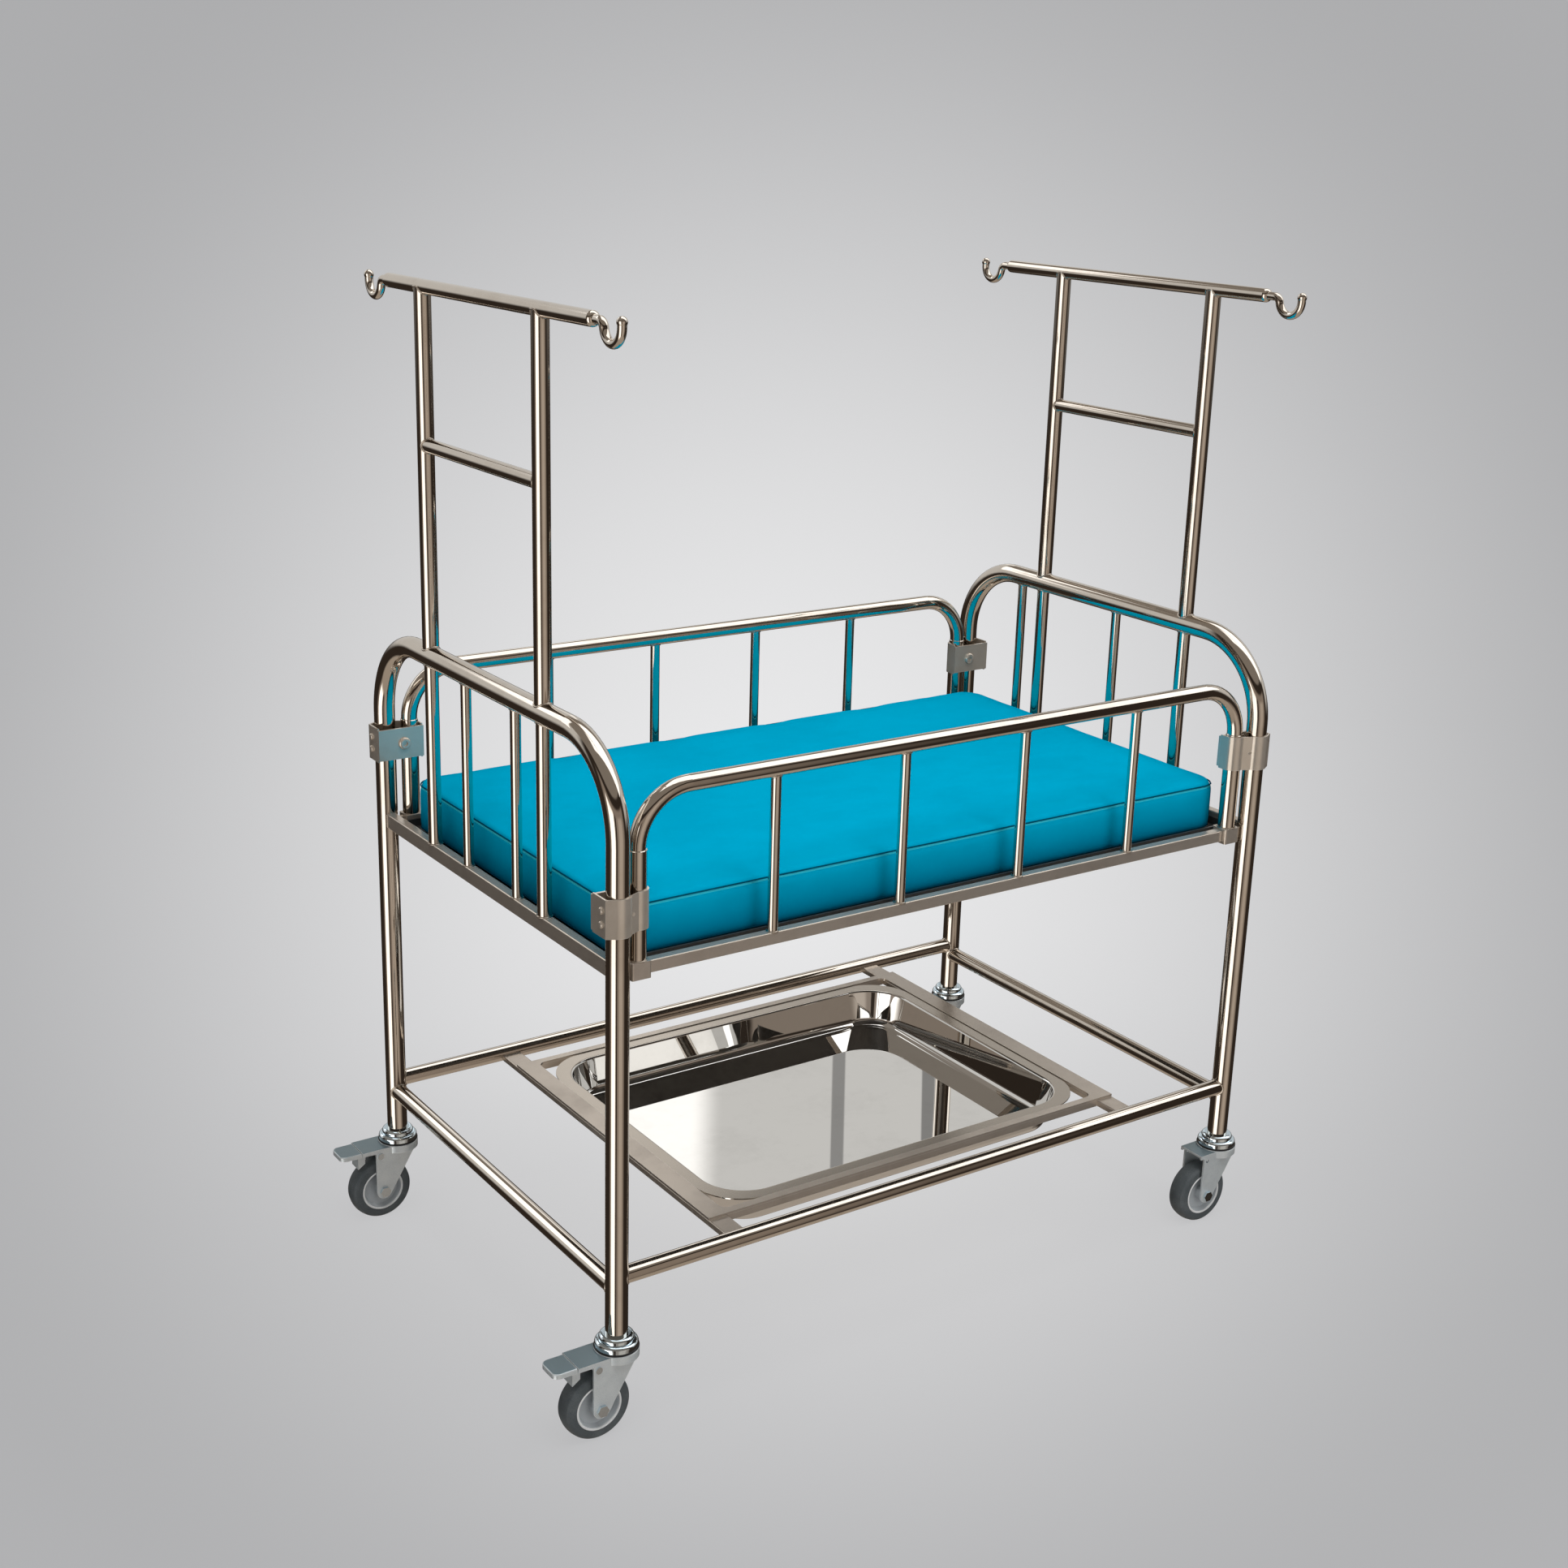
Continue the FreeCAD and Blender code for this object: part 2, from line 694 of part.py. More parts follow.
def guard_rail(label, side):
    """One tube bent to a low inverted U that stands on the end blocks."""
    body = new_body("guard_" + label)
    top = dim("guard_rail_height") - BLOCK_TOP
    bend = dim("guard_bend")
    path = draw(new_sketch(body, "guard_path_" + label, "XZ_Plane"), [
        (-LEG_X, 0.0),
        (-LEG_X, top - bend),
        (bend - LEG_X, top, bend, -1),
        (LEG_X - bend, top),
        (LEG_X, top - bend, bend, -1),
        (LEG_X, 0.0),
    ], closed=False)
    ring = draw_circle(new_sketch(body, "guard_ring_" + label, "XY_Plane"),
                       dim("guard_tube_dia"), -LEG_X, 0.0)
    sweep(body, "guard_bend_" + label, ring, path, 5)
    place(body, 0.0, GUARD_Y * side, BLOCK_TOP)
    return keep("guard_rail_" + label, body)


def guard_sleeves():
    """Sleeves that join each guard's straight legs to its bent tube, up to where the bend starts."""
    pieces = []
    length = dim("guard_rail_height") - dim("guard_bend") - BLOCK_TOP
    for end_label, end in ENDS.items():
        for side_label, side in SIDES.items():
            name = "%s_%s" % (side_label, end_label)
            body = new_body("sleeve_" + name)
            rings = new_sketch(body, "sleeve_rings_" + name, "XY_Plane")
            draw_circle(rings, dim("sleeve_dia"))
            draw_circle(rings, dim("guard_tube_dia"))
            pad(body, "sleeve_tube_" + name, rings, length)
            dress(body, "Chamfer", "sleeve_lip_" + name, dim("sleeve_lip"),
                  lambda edge: is_level(edge, float(length))
                  and edge.BoundBox.XLength > float(dim("sleeve_dia")) - 0.1)
            pieces.append(place(body, LEG_X * end, GUARD_Y * side, BLOCK_TOP))
    return keep("guard_sleeves", fuse("sleeves", pieces))


def guard_spindles(label, side):
    """Four spindles between a guard's rail and its bottom bar."""
    pitch = dim(label + "_spindle_pitch")
    floor = dim("guard_bar_top")
    rods = []
    for number in range(4):
        rods.append(cylinder("guard_spindle_%s_%d" % (label, number + 1), dim("guard_spindle_dia"),
                             dim("guard_rail_height") - floor, pitch * (number - 1.5),
                             GUARD_Y * side, floor))
    rail = cylinder("guard_saddle_" + label, dim("guard_tube_dia"), LEG_X * 2, -LEG_X,
                    GUARD_Y * side, dim("guard_rail_height"), ALONG_X)
    group = fuse("guard_rods_" + label, rods)
    return keep("guard_spindles_" + label, cut("guard_rods_saddled_" + label, group, [rail]))


def guard_bottom_bar(label, side):
    """Flat bar between a guard's two end blocks."""
    length = (LEG_X - dim("block_width") / 2 - dim("bar_joint_gap")) * 2
    bar = rounded_bar("guard_bar_" + label, length, dim("guard_bar_depth"), dim("guard_bar_height"),
                      0.0, GUARD_Y * side, dim("guard_bar_top") - dim("guard_bar_height"), Vector(1, 0, 0))
    tenon = box("guard_tenon_" + label, LEG_X * 2 - dim("block_width"), dim("guard_bar_depth") / 2,
                dim("guard_bar_height") / 2, 0.0, GUARD_Y * side,
                dim("guard_bar_top") - dim("guard_bar_height") * 0.75)
    return keep("guard_bottom_bar_" + label, fuse("guard_bar_tenoned_" + label, [bar, tenon]))


def guard_end_blocks():
    """Square end blocks under the guard legs, each with a lug to its post."""
    blocks = []
    for end_label, end in ENDS.items():
        for side_label, side in SIDES.items():
            name = "%s_%s" % (side_label, end_label)
            floor = BLOCK_TOP - dim("block_height")
            blank = box("block_blank_" + name, dim("block_width"), dim("block_width"),
                        dim("block_height"), LEG_X * end, GUARD_Y * side, floor)
            block = round_edges("block_" + name, blank, dim("block_round"),
                                lambda edge: edge_runs(edge, Vector(0, 0, 1)))
            lug = box("lug_" + name, POST_X - LEG_X, dim("lug_depth"), dim("lug_height"),
                      (POST_X + LEG_X) * (end * 0.5), (GUARD_Y + dim("lug_offset")) * side,
                      floor + (dim("block_height") - dim("lug_height")) / 2)
            joined = fuse("block_and_lug_" + name, [block, lug])
            post = post_envelope("block_post_" + name, end, side)
            blocks.append(cut("block_saddled_" + name, joined, [post]))
    return keep("guard_end_blocks", fuse("end_blocks", blocks))


# ---------------------------------------------------------------- corner clamps

def clamp_middle(end_label, side_label):
    """Height of the middle of one clamp."""
    if side_label == "rear":
        return dim("clamp_middle_rear")
    return dim("clamp_middle_front_" + end_label)


FLANK_X = POST_R + dim("clamp_standoff")
LEG_R = dim("sleeve_dia") / 2
PLATE_Y = dim("guard_inset") + LEG_R
SCREW_Y = -dim("guard_inset") * 0.2
BOLT_X = -(POST_R + dim("guard_leg_offset") - LEG_R) / 2


def clamp_line(grow):
    """Points of the strip's inner line (grow 0) or outer line, seen from above.

    The post axis is the origin, +X points out of the cot's end and +Y out of its side.
    """
    post = POST_R + grow
    leg = LEG_R + grow
    leg_x = -dim("guard_leg_offset")
    leg_y = -dim("guard_inset")
    flank = FLANK_X + grow
    bend = math.radians(60.0)
    back = math.radians(150.0)
    waist = math.radians(70.0)
    slope = (flank - post * math.cos(bend)) * (math.cos(bend) / math.sin(bend))
    return {
        "tail": (flank, -PLATE_Y),
        "corner": (flank, post * math.sin(bend) - slope),
        "post_start": (post * math.cos(bend), post * math.sin(bend)),
        "post_end": (post * math.cos(back), post * math.sin(back)),
        "leg_start": (leg_x + leg * math.cos(waist), leg_y + leg * math.sin(waist)),
        "leg_end": (leg_x - leg, leg_y),
        "foot": (leg_x - leg, -PLATE_Y),
        "post": post,
        "leg": leg,
    }


def clamp_bracket(name):
    """Bent strip round the outside of a post and the guard leg beside it."""
    body = new_body("clamp_" + name)
    inner = clamp_line(0.0)
    outer = clamp_line(dim("clamp_sheet"))
    outline = draw(new_sketch(body, "clamp_outline_" + name, "XY_Plane"), [
        inner["tail"],
        outer["tail"],
        outer["corner"],
        outer["post_start"],
        outer["post_end"] + (outer["post"], 1),
        outer["leg_start"],
        outer["leg_end"] + (outer["leg"], 1),
        outer["foot"],
        inner["foot"],
        inner["leg_end"],
        inner["leg_start"] + (inner["leg"], -1),
        inner["post_end"],
        inner["post_start"] + (inner["post"], -1),
        inner["corner"],
    ])
    pad(body, "clamp_strip_" + name, outline, dim("clamp_height"), both_ways=True)
    screw_holes = new_sketch(body, "clamp_screw_holes_" + name, "YZ_Plane")
    for step in (-0.5, 0.5):
        draw_circle(screw_holes, dim("clamp_screw_dia"), SCREW_Y, dim("clamp_screw_pitch") * step)
    pocket(body, "clamp_screw_cut_" + name, screw_holes, FLANK_X * 2, upwards=True)
    bolt_hole = draw_circle(new_sketch(body, "clamp_bolt_hole_" + name, "XZ_Plane"),
                            dim("clamp_bolt_dia"), BOLT_X, 0.0)
    pocket(body, "clamp_bolt_cut_" + name, bolt_hole, POST_R * 2)
    return body


def clamp_plate(name):
    """Flat plate on the inside of the clamp, with the bolt's hole."""
    body = new_body("plate_" + name)
    outer = clamp_line(dim("clamp_sheet"))
    length = outer["tail"][0] - outer["foot"][0]
    middle = (outer["tail"][0] + outer["foot"][0]) / 2
    half = length / 2
    rise = dim("clamp_plate_height") / 2
    outline = draw(new_sketch(body, "plate_outline_" + name, "XZ_Plane", PLATE_Y), [
        (middle - half, -rise),
        (middle + half, -rise),
        (middle + half, rise),
        (middle - half, rise),
    ])
    pad(body, "plate_sheet_" + name, outline, dim("clamp_plate_sheet"))
    hole = draw_circle(new_sketch(body, "plate_hole_" + name, "XZ_Plane", PLATE_Y),
                       dim("clamp_bolt_dia"), BOLT_X, 0.0)
    pocket(body, "plate_hole_cut_" + name, hole, dim("clamp_plate_sheet") + OVERCUT, upwards=True)
    return body


def clamp_bolt(name):
    """Round-head bolt with a hexagon socket, between the post and the guard leg."""
    body = new_body("bolt_" + name)
    seat = PLATE_Y + dim("clamp_plate_sheet")
    head = draw_circle(new_sketch(body, "bolt_head_ring_" + name, "XZ_Plane", seat),
                       dim("clamp_bolt_head"), BOLT_X, 0.0)
    pad(body, "bolt_head_" + name, head, dim("clamp_bolt_head_rise"))
    dress(body, "Fillet", "bolt_dome_" + name, dim("clamp_bolt_head_rise") * 0.7,
          lambda edge: edge.Curve.TypeId == "Part::GeomCircle" and edge.BoundBox.YMax < -float(seat) - 1.0)
    socket = new_sketch(body, "bolt_socket_" + name, "XZ_Plane", seat + dim("clamp_bolt_head_rise"))
    reach = dim("clamp_socket") / 2
    draw(socket, [(BOLT_X + reach * math.cos(math.radians(60.0 * step)),
                   reach * math.sin(math.radians(60.0 * step))) for step in range(6)])
    pocket(body, "bolt_socket_cut_" + name, socket, dim("clamp_bolt_head_rise") * 0.6)
    shank = draw_circle(new_sketch(body, "bolt_shank_ring_" + name, "XZ_Plane", seat),
                        dim("clamp_bolt_dia"), BOLT_X, 0.0)
    pad(body, "bolt_shank_" + name, shank, seat + dim("clamp_bolt_reach"), downwards=True)
    return body


def clamp_screws(name):
    """Two small round-head screws through the strip's flat flank."""
    pieces = []
    for step_label, step in (("lower", -0.5), ("upper", 0.5)):
        rise = dim("clamp_screw_pitch") * step
        face = FLANK_X + dim("clamp_sheet")
        body = new_body("screw_%s_%s" % (step_label, name))
        tag = "%s_%s" % (step_label, name)
        ring = draw_circle(new_sketch(body, "screw_ring_" + tag, "YZ_Plane", face),
                           dim("clamp_screw_head"), SCREW_Y, rise)
        pad(body, "screw_head_" + tag, ring, dim("clamp_screw_head_rise"))
        dress(body, "Fillet", "screw_dome_" + tag, dim("clamp_screw_head_rise") * 0.8,
              lambda edge: edge.Curve.TypeId == "Part::GeomCircle" and edge.BoundBox.XMin > float(face) + 1.0)
        shank = draw_circle(new_sketch(body, "screw_shank_ring_" + tag, "YZ_Plane", face),
                            dim("clamp_screw_dia"), SCREW_Y, rise)
        pad(body, "screw_shank_" + tag, shank, face - POST_R, downwards=True)
        pieces.append(body)
    return fuse("screw_pair_" + name, pieces)


def at_corner(thing, end_label, end, side_label, side):
    """Put a clamp piece, drawn for the rear right corner, at its own corner."""
    turned = Rotation(Vector(0, 0, 1), 180)
    height = clamp_middle(end_label, side_label)
    if end * side > 0:
        return place(thing, POST_X * end, POST_Y * side, height, Rotation() if end > 0 else turned)
    mirror = doc.addObject("Part::Mirroring", "mirrored_" + thing.Name)
    mirror.Source = thing
    mirror.Normal = Vector(1, 0, 0)
    return place(mirror, POST_X * end, POST_Y * side, height, Rotation() if end < 0 else turned)


def corner_clamps():
    """The four clamps: strips, inside plates, bolts and screws."""
    makers = {
        "clamp_strips": clamp_bracket,
        "clamp_plates": clamp_plate,
        "clamp_bolts": clamp_bolt,
        "clamp_screws": clamp_screws,
    }
    for kind, maker in makers.items():
        sides = {}
        for side_label, side in SIDES.items():
            sides[side_label] = [
                at_corner(maker("%s_%s_%s" % (kind, side_label, end_label)), end_label, end, side_label, side)
                for end_label, end in ENDS.items()]
        if kind == "clamp_strips":
            for side_label, pieces in sides.items():
                keep("clamp_strips_" + side_label, fuse("strips_" + side_label, pieces))
        else:
            keep(kind, fuse("all_" + kind, sides["front"] + sides["rear"]))


# ---------------------------------------------------------------- deck and mattress

def deck_panel():
    """Shallow pan that holds the mattress, its turned-up edge welded to the bed end bars."""
    body = new_body("deck")
    half_x = POST_X - dim("bed_bar_depth") / 2
    half_y = GUARD_Y - dim("block_width") / 2 - dim("deck_gap")
    wall = dim("deck_sheet")
    outer = draw(new_sketch(body, "deck_outline", "XY_Plane"),
                 rounded_rectangle(half_x, half_y, dim("deck_corner")))
    pad(body, "deck_blank", outer, dim("deck_edge"))
    inner = draw(new_sketch(body, "deck_hollow_outline", "XY_Plane", dim("deck_edge")),
                 rounded_rectangle(half_x - wall, half_y - wall, dim("deck_corner") - wall))
    pocket(body, "deck_hollow", inner, dim("deck_edge") - wall)
    place(body, 0.0, 0.0, dim("deck_top") - wall)
    return keep("deck_panel", body)


def mattress():
    """Plain solid of the mattress's size."""
    body = new_body("mattress_block")
    half_x = POST_X - dim("end_spindle_dia") / 2 - dim("mattress_end_gap")
    half_y = GUARD_Y - dim("guard_spindle_dia") / 2 - dim("mattress_side_gap")
    outline = draw(new_sketch(body, "mattress_outline", "XY_Plane"),
                   rounded_rectangle(half_x, half_y, dim("mattress_corner")))
    pad(body, "mattress_slab", outline, dim("mattress_thickness"))
    dress(body, "Fillet", "mattress_edges", dim("mattress_edge"),
          lambda edge: edge.BoundBox.ZLength < 1e-3)
    place(body, 0.0, 0.0, dim("deck_top") + dim("mattress_lift"))
    return keep("mattress", body)


# ---------------------------------------------------------------- lower shelf

def long_stretcher(label, side):
    """Front or rear stretcher, saddled on its two posts."""
    height = dim("long_stretcher_height")
    rod = cylinder("long_rod_" + label, dim("stretcher_dia"), POST_X * 2,
                   -POST_X, POST_Y * side, height, ALONG_X)
    posts = [post_envelope("long_post_%s_%s" % (label, end_label), end, side)
             for end_label, end in ENDS.items()]
    return keep("stretcher_" + label, cut("long_saddled_" + label, rod, posts))


def short_stretcher(label, end):
    """Left or right stretcher, saddled on its two posts."""
    height = dim("short_stretcher_height")
    rod = cylinder("short_rod_" + label, dim("stretcher_dia"), POST_Y * 2,
                   POST_X * end, -POST_Y, height, ALONG_Y)
    posts = [post_envelope("short_post_%s_%s" % (label, side_label), end, side)
             for side_label, side in SIDES.items()]
    tools = posts + [
        cylinder("short_long_%s_%s" % (label, side_label), dim("stretcher_dia"), POST_X * 2,
                 -POST_X, POST_Y * side, dim("long_stretcher_height"), ALONG_X)
        for side_label, side in SIDES.items()]
    return keep("stretcher_" + label, cut("short_saddled_" + label, rod, tools))


def tray_cross_bars():
    """Two flat bars from the front stretcher to the rear one."""
    bars = [rounded_bar("cross_bar_" + label, dim("cross_bar_width"), POST_Y * 2, dim("cross_bar_depth"),
                        CROSS_BAR_X * end, 0.0, CROSS_BAR_FLOOR, Vector(0, 1, 0))
            for label, end in ENDS.items()]
    rails = [cylinder("cross_saddle_" + label, dim("stretcher_dia"), POST_X * 2, -POST_X,
                      POST_Y * side, dim("long_stretcher_height"), ALONG_X)
             for label, side in SIDES.items()]
    return keep("tray_cross_bars", cut("cross_bars_saddled", fuse("cross_bars", bars), rails))


OPENING_X = CROSS_BAR_X - dim("cross_bar_width") / 2
OPENING_Y = HOLDER_Y - dim("holder_rail")


def holder_sheet():
    """Flat frame that lies on the cross bars round the tray's rim."""
    body = new_body("holder_sheet_body")
    outline = draw(new_sketch(body, "holder_outline", "XY_Plane"), [
        (-HOLDER_X, -HOLDER_Y), (HOLDER_X, -HOLDER_Y), (HOLDER_X, HOLDER_Y), (-HOLDER_X, HOLDER_Y)])
    pad(body, "holder_blank", outline, dim("holder_sheet"))
    opening = draw(new_sketch(body, "holder_opening", "XY_Plane"),
                   rounded_rectangle(OPENING_X, OPENING_Y, dim("holder_round")))
    pocket(body, "holder_opening_cut", opening, dim("holder_sheet") + OVERCUT, upwards=True)
    place(body, 0.0, 0.0, CROSS_BAR_TOP)
    return keep("tray_holder_sheet", body)


def holder_rails():
    """Front and rear rails below the sheet, between the cross bars."""
    rails = [box("holder_rail_" + label, OPENING_X * 2, dim("holder_rail"), dim("cross_bar_depth"),
                 0.0, (HOLDER_Y - dim("holder_rail") / 2) * side, CROSS_BAR_FLOOR)
             for label, side in SIDES.items()]
    return keep("tray_holder_rails", fuse("holder_rail_pair", rails))


def holder_ledge():
    """Ledge strips on the cross bars and rails that carry the tray's rim, open at the corners."""
    wide = dim("holder_ledge")
    long_x = (OPENING_X - dim("ledge_corner")) * 2
    long_y = (OPENING_Y - dim("ledge_corner")) * 2
    floor = CROSS_BAR_TOP - dim("holder_sheet")
    strips = [box("ledge_" + label, wide, long_y, dim("holder_sheet"),
                  (OPENING_X - wide / 2) * end, 0.0, floor)
              for label, end in ENDS.items()]
    strips += [box("ledge_" + label, long_x, wide, dim("holder_sheet"),
                   0.0, (OPENING_Y - wide / 2) * side, floor)
               for label, side in SIDES.items()]
    return keep("tray_ledge", fuse("ledge_strips", strips))


def tray():
    """Deep-drawn tray: flat rim with round corners, sloping walls and a rounded bottom edge."""
    body = new_body("tray_body")
    rim_x = OPENING_X - dim("tray_gap")
    rim_y = OPENING_Y - dim("tray_gap")
    in_x = rim_x - dim("tray_rim")
    in_y = rim_y - dim("tray_rim")
    wall = dim("tray_sheet")
    rim = draw(new_sketch(body, "tray_rim_outline", "XY_Plane"),
               rounded_rectangle(rim_x, rim_y, dim("tray_rim_corner")))
    pad(body, "tray_rim_sheet", rim, wall)
    shell = draw(new_sketch(body, "tray_shell_outline", "XY_Plane", wall),
                 rounded_rectangle(in_x + wall, in_y + wall, dim("tray_corner") + wall))
    pad(body, "tray_shell", shell, dim("tray_depth") + wall, downwards=True, draft=-dim("tray_draft"))
    hollow = draw(new_sketch(body, "tray_hollow_outline", "XY_Plane", wall),
                  rounded_rectangle(in_x, in_y, dim("tray_corner")))
    pocket(body, "tray_hollow", hollow, dim("tray_depth"), draft=-dim("tray_draft"))
    dress(body, "Fillet", "tray_bottom_inside", dim("tray_bottom_round"),
          lambda edge: abs(edge.BoundBox.ZMax + float(dim("tray_depth") - wall)) < 0.2
          and edge.BoundBox.ZLength < 0.1)
    dress(body, "Fillet", "tray_bottom_outside", dim("tray_bottom_round") + wall,
          lambda edge: edge.BoundBox.ZMax < -float(dim("tray_depth")) + 0.5)
    for name, height, radius in (("tray_neck", 0.0, dim("tray_top_round") - wall),
                                 ("tray_mouth", float(wall), dim("tray_top_round"))):
        dress(body, "Fillet", name, radius,
              lambda edge: is_level(edge, height) and lies_within(edge, in_x + wall, in_y + wall))
    place(body, 0.0, 0.0, CROSS_BAR_TOP + dim("tray_lift"))
    return keep("tray", body)


# ---------------------------------------------------------------- casters

AXLE_Z = dim("wheel_dia") / 2
FORK_INSIDE = dim("fork_width") - dim("fork_sheet") * 2
CROWN_FLOOR = dim("crown_top") - dim("fork_sheet")
HOOD_FLOOR = CROWN_FLOOR - dim("hood_drop")


def each_corner(name, maker):
    """Pieces of one kind at all four corners."""
    return [place(maker("%s_%s_%s" % (name, side_label, end_label)), POST_X * end, POST_Y * side, 0.0)
            for end_label, end in ENDS.items() for side_label, side in SIDES.items()]


def caster_stem(name):
    """Stem in the post, and the kingpin on which the fork swivels."""
    body = new_body(name)
    pin = dim("kingpin_dia") / 2
    head = dim("kingpin_head_dia") / 2
    head_top = HOOD_FLOOR - dim("race_clearance")
    stem = dim("stem_dia") / 2
    foot = dim("post_foot")
    top = foot + dim("stem_length")
    half = draw(new_sketch(body, name + "_half", "XZ_Plane"), [
        (0.0, head_top - dim("kingpin_head_rise")),
        (head, head_top - dim("kingpin_head_rise")),
        (head, head_top),
        (pin, head_top),
        (pin, foot),
        (stem, foot),
        (stem, top - dim("stem_point")),
        (stem - dim("stem_point"), top),
        (0.0, top),
    ])
    turn_profile(body, name + "_turned", half, "V_Axis")
    return body


def bearing_cap(name):
    """Stepped cap below the post, over the fork's bearing race."""
    body = new_body(name)
    pin = dim("kingpin_dia") / 2
    race = dim("race_dia") / 2 + dim("race_clearance")
    floor = dim("crown_top") + dim("race_gap")
    ceiling = dim("crown_top") + dim("race_height") + dim("race_clearance")
    skirt = dim("cap_dia") / 2
    neck = dim("cap_neck_dia") / 2
    step = floor + dim("cap_skirt")
    top = dim("post_foot")
    skirt_round = dim("cap_skirt_round")
    neck_round = dim("cap_neck_round")
    half = draw(new_sketch(body, name + "_half", "XZ_Plane"), [
        (pin, ceiling),
        (race, ceiling),
        (race, floor),
        (skirt, floor),
        (skirt, step - skirt_round),
        (skirt - skirt_round, step, skirt_round, 1),
        (neck, step),
        (neck, top - neck_round),
        (neck - neck_round, top, neck_round, 1),
        (pin, top),
    ])
    turn_profile(body, name + "_turned", half, "V_Axis")
    return body


def wheel_fork(name, hood_end):
    """Pressed fork: round crown with a race on top, two cheeks and a hood."""
    body = new_body(name)
    top = dim("crown_top")
    wall = dim("fork_sheet")
    crown = draw_circle(new_sketch(body, name + "_crown_ring", "XY_Plane", top), dim("crown_dia"))
    pad(body, name + "_crown", crown, dim("crown_depth"), downwards=True)
    dress(body, "Fillet", name + "_crown_edge", wall * 0.8,
          lambda edge: edge.BoundBox.ZMin > float(top) - 0.1)
    hollow = draw_circle(new_sketch(body, name + "_hollow_ring", "XY_Plane", top - dim("crown_depth")),
                         dim("crown_dia") - wall * 2)
    pocket(body, name + "_hollow", hollow, dim("crown_depth") - wall, upwards=True)
    side = dim("fork_width") / 2
    hood_top = top - dim("hood_drop")
    hood = draw(new_sketch(body, name + "_hood_outline", "XY_Plane", hood_top), [
        (-hood_end, -side), (0.0, -side), (0.0, side), (-hood_end, side)])
    pad(body, name + "_hood", hood, wall, downwards=True)
    lug = dim("fork_lug")
    trail = dim("trail")
    lean = math.radians(-35.0)
    lips = hood_top - dim("hood_lip")
    for label, start in (("near", FORK_INSIDE / 2), ("far", -side)):
        cheek = draw(new_sketch(body, "%s_cheek_%s" % (name, label), "XZ_Plane", start), [
            (-hood_end, hood_top),
            (-hood_end, lips),
            (-(trail + lug), lips),
            (-(trail + lug), AXLE_Z),
            (-trail, AXLE_Z - lug, lug, 1),
            (lug * math.cos(lean) - trail, AXLE_Z + lug * math.sin(lean), lug, 1),
            (dim("cheek_front"), top - dim("crown_depth")),
            (dim("cheek_front"), hood_top),
        ])
        pad(body, "%s_cheek_pad_%s" % (name, label), cheek, wall)
    race = new_sketch(body, name + "_race_rings", "XY_Plane", top - OVERCUT)
    draw_circle(race, dim("race_dia"))
    draw_circle(race, dim("race_dia") - dim("race_wall") * 2)
    pad(body, name + "_race", race, dim("race_height") + OVERCUT)
    bore = draw_circle(new_sketch(body, name + "_bore_ring", "XY_Plane", CROWN_FLOOR - OVERCUT),
                       dim("kingpin_dia") + dim("kingpin_clearance") * 2)
    pocket(body, name + "_bore", bore, wall + OVERCUT * 2, upwards=True)
    holes = new_sketch(body, name + "_axle_rings", "XZ_Plane")
    draw_circle(holes, dim("axle_dia"), -trail, AXLE_Z)
    draw_circle(holes, dim("pedal_pin_dia"), -dim("pedal_pin_back"), dim("pedal_pin_height"))
    pocket(body, name + "_axle_holes", holes, dim("fork_width") + OVERCUT * 2, both_ways=True)
    return body


def wheel_tyre(name):
    """Rubber tyre with round shoulders and a slightly domed tread."""
    body = new_body(name)
    half = dim("wheel_width") / 2
    seat = dim("tyre_inner_dia") / 2
    outer = dim("wheel_dia") / 2
    rise = dim("tread_crown")
    shoulder = outer - rise
    soft = dim("tyre_shoulder")
    flat = half - soft
    dome = (flat * flat + rise * rise) / (rise * 2)
    section = draw(new_sketch(body, name + "_section", "YZ_Plane"), [
        (-half, seat),
        (half, seat),
        (half, shoulder - soft),
        (flat, shoulder, soft, 1),
        (-flat, shoulder, dome, 1),
        (-half, shoulder - soft, soft, 1),
    ])
    turn_profile(body, name + "_turned", section, "H_Axis")
    return body


def wheel_centre(name):
    """Wheel centre: rim, dished web and hub bored for the axle."""
    body = new_body(name)
    rim = dim("tyre_inner_dia") / 2
    half = dim("wheel_width") / 2
    hub = dim("hub_dia") / 2
    hub_half = FORK_INSIDE / 2 - dim("hub_clearance")
    bore = dim("axle_dia") / 2 + dim("axle_clearance")
    web = half / 2
    face = half - dim("rim_setback")
    section = draw(new_sketch(body, name + "_section", "YZ_Plane"), [
        (-hub_half, bore),
        (hub_half, bore),
        (hub_half, hub),
        (web, hub),
        (web, rim - dim("rim_depth")),
        (face, rim - dim("rim_lip")),
        (face, rim),
        (-face, rim),
        (-face, rim - dim("rim_lip")),
        (-web, rim - dim("rim_depth")),
        (-web, hub),
        (-hub_half, hub),
    ])
    turn_profile(body, name + "_turned", section, "H_Axis")
    return body


def across_pin(name, dia, x, z, head, rise, corners):
    """A pin through both cheeks, with a head outside each."""
    body = new_body(name)
    shank = draw_circle(new_sketch(body, name + "_ring", "XZ_Plane"), dia, x, z)
    pad(body, name + "_shank", shank, dim("fork_width"), both_ways=True)
    for label, start in (("near", dim("fork_width") / 2), ("far", -(dim("fork_width") / 2 + rise))):
        ring = new_sketch(body, "%s_head_%s" % (name, label), "XZ_Plane", start)
        if corners:
            draw(ring, [(x + head / 2 * math.cos(math.radians(60.0 * step)),
                         z + head / 2 * math.sin(math.radians(60.0 * step))) for step in range(6)])
        else:
            draw_circle(ring, head, x, z)
        pad(body, "%s_head_pad_%s" % (name, label), ring, rise)
    return body


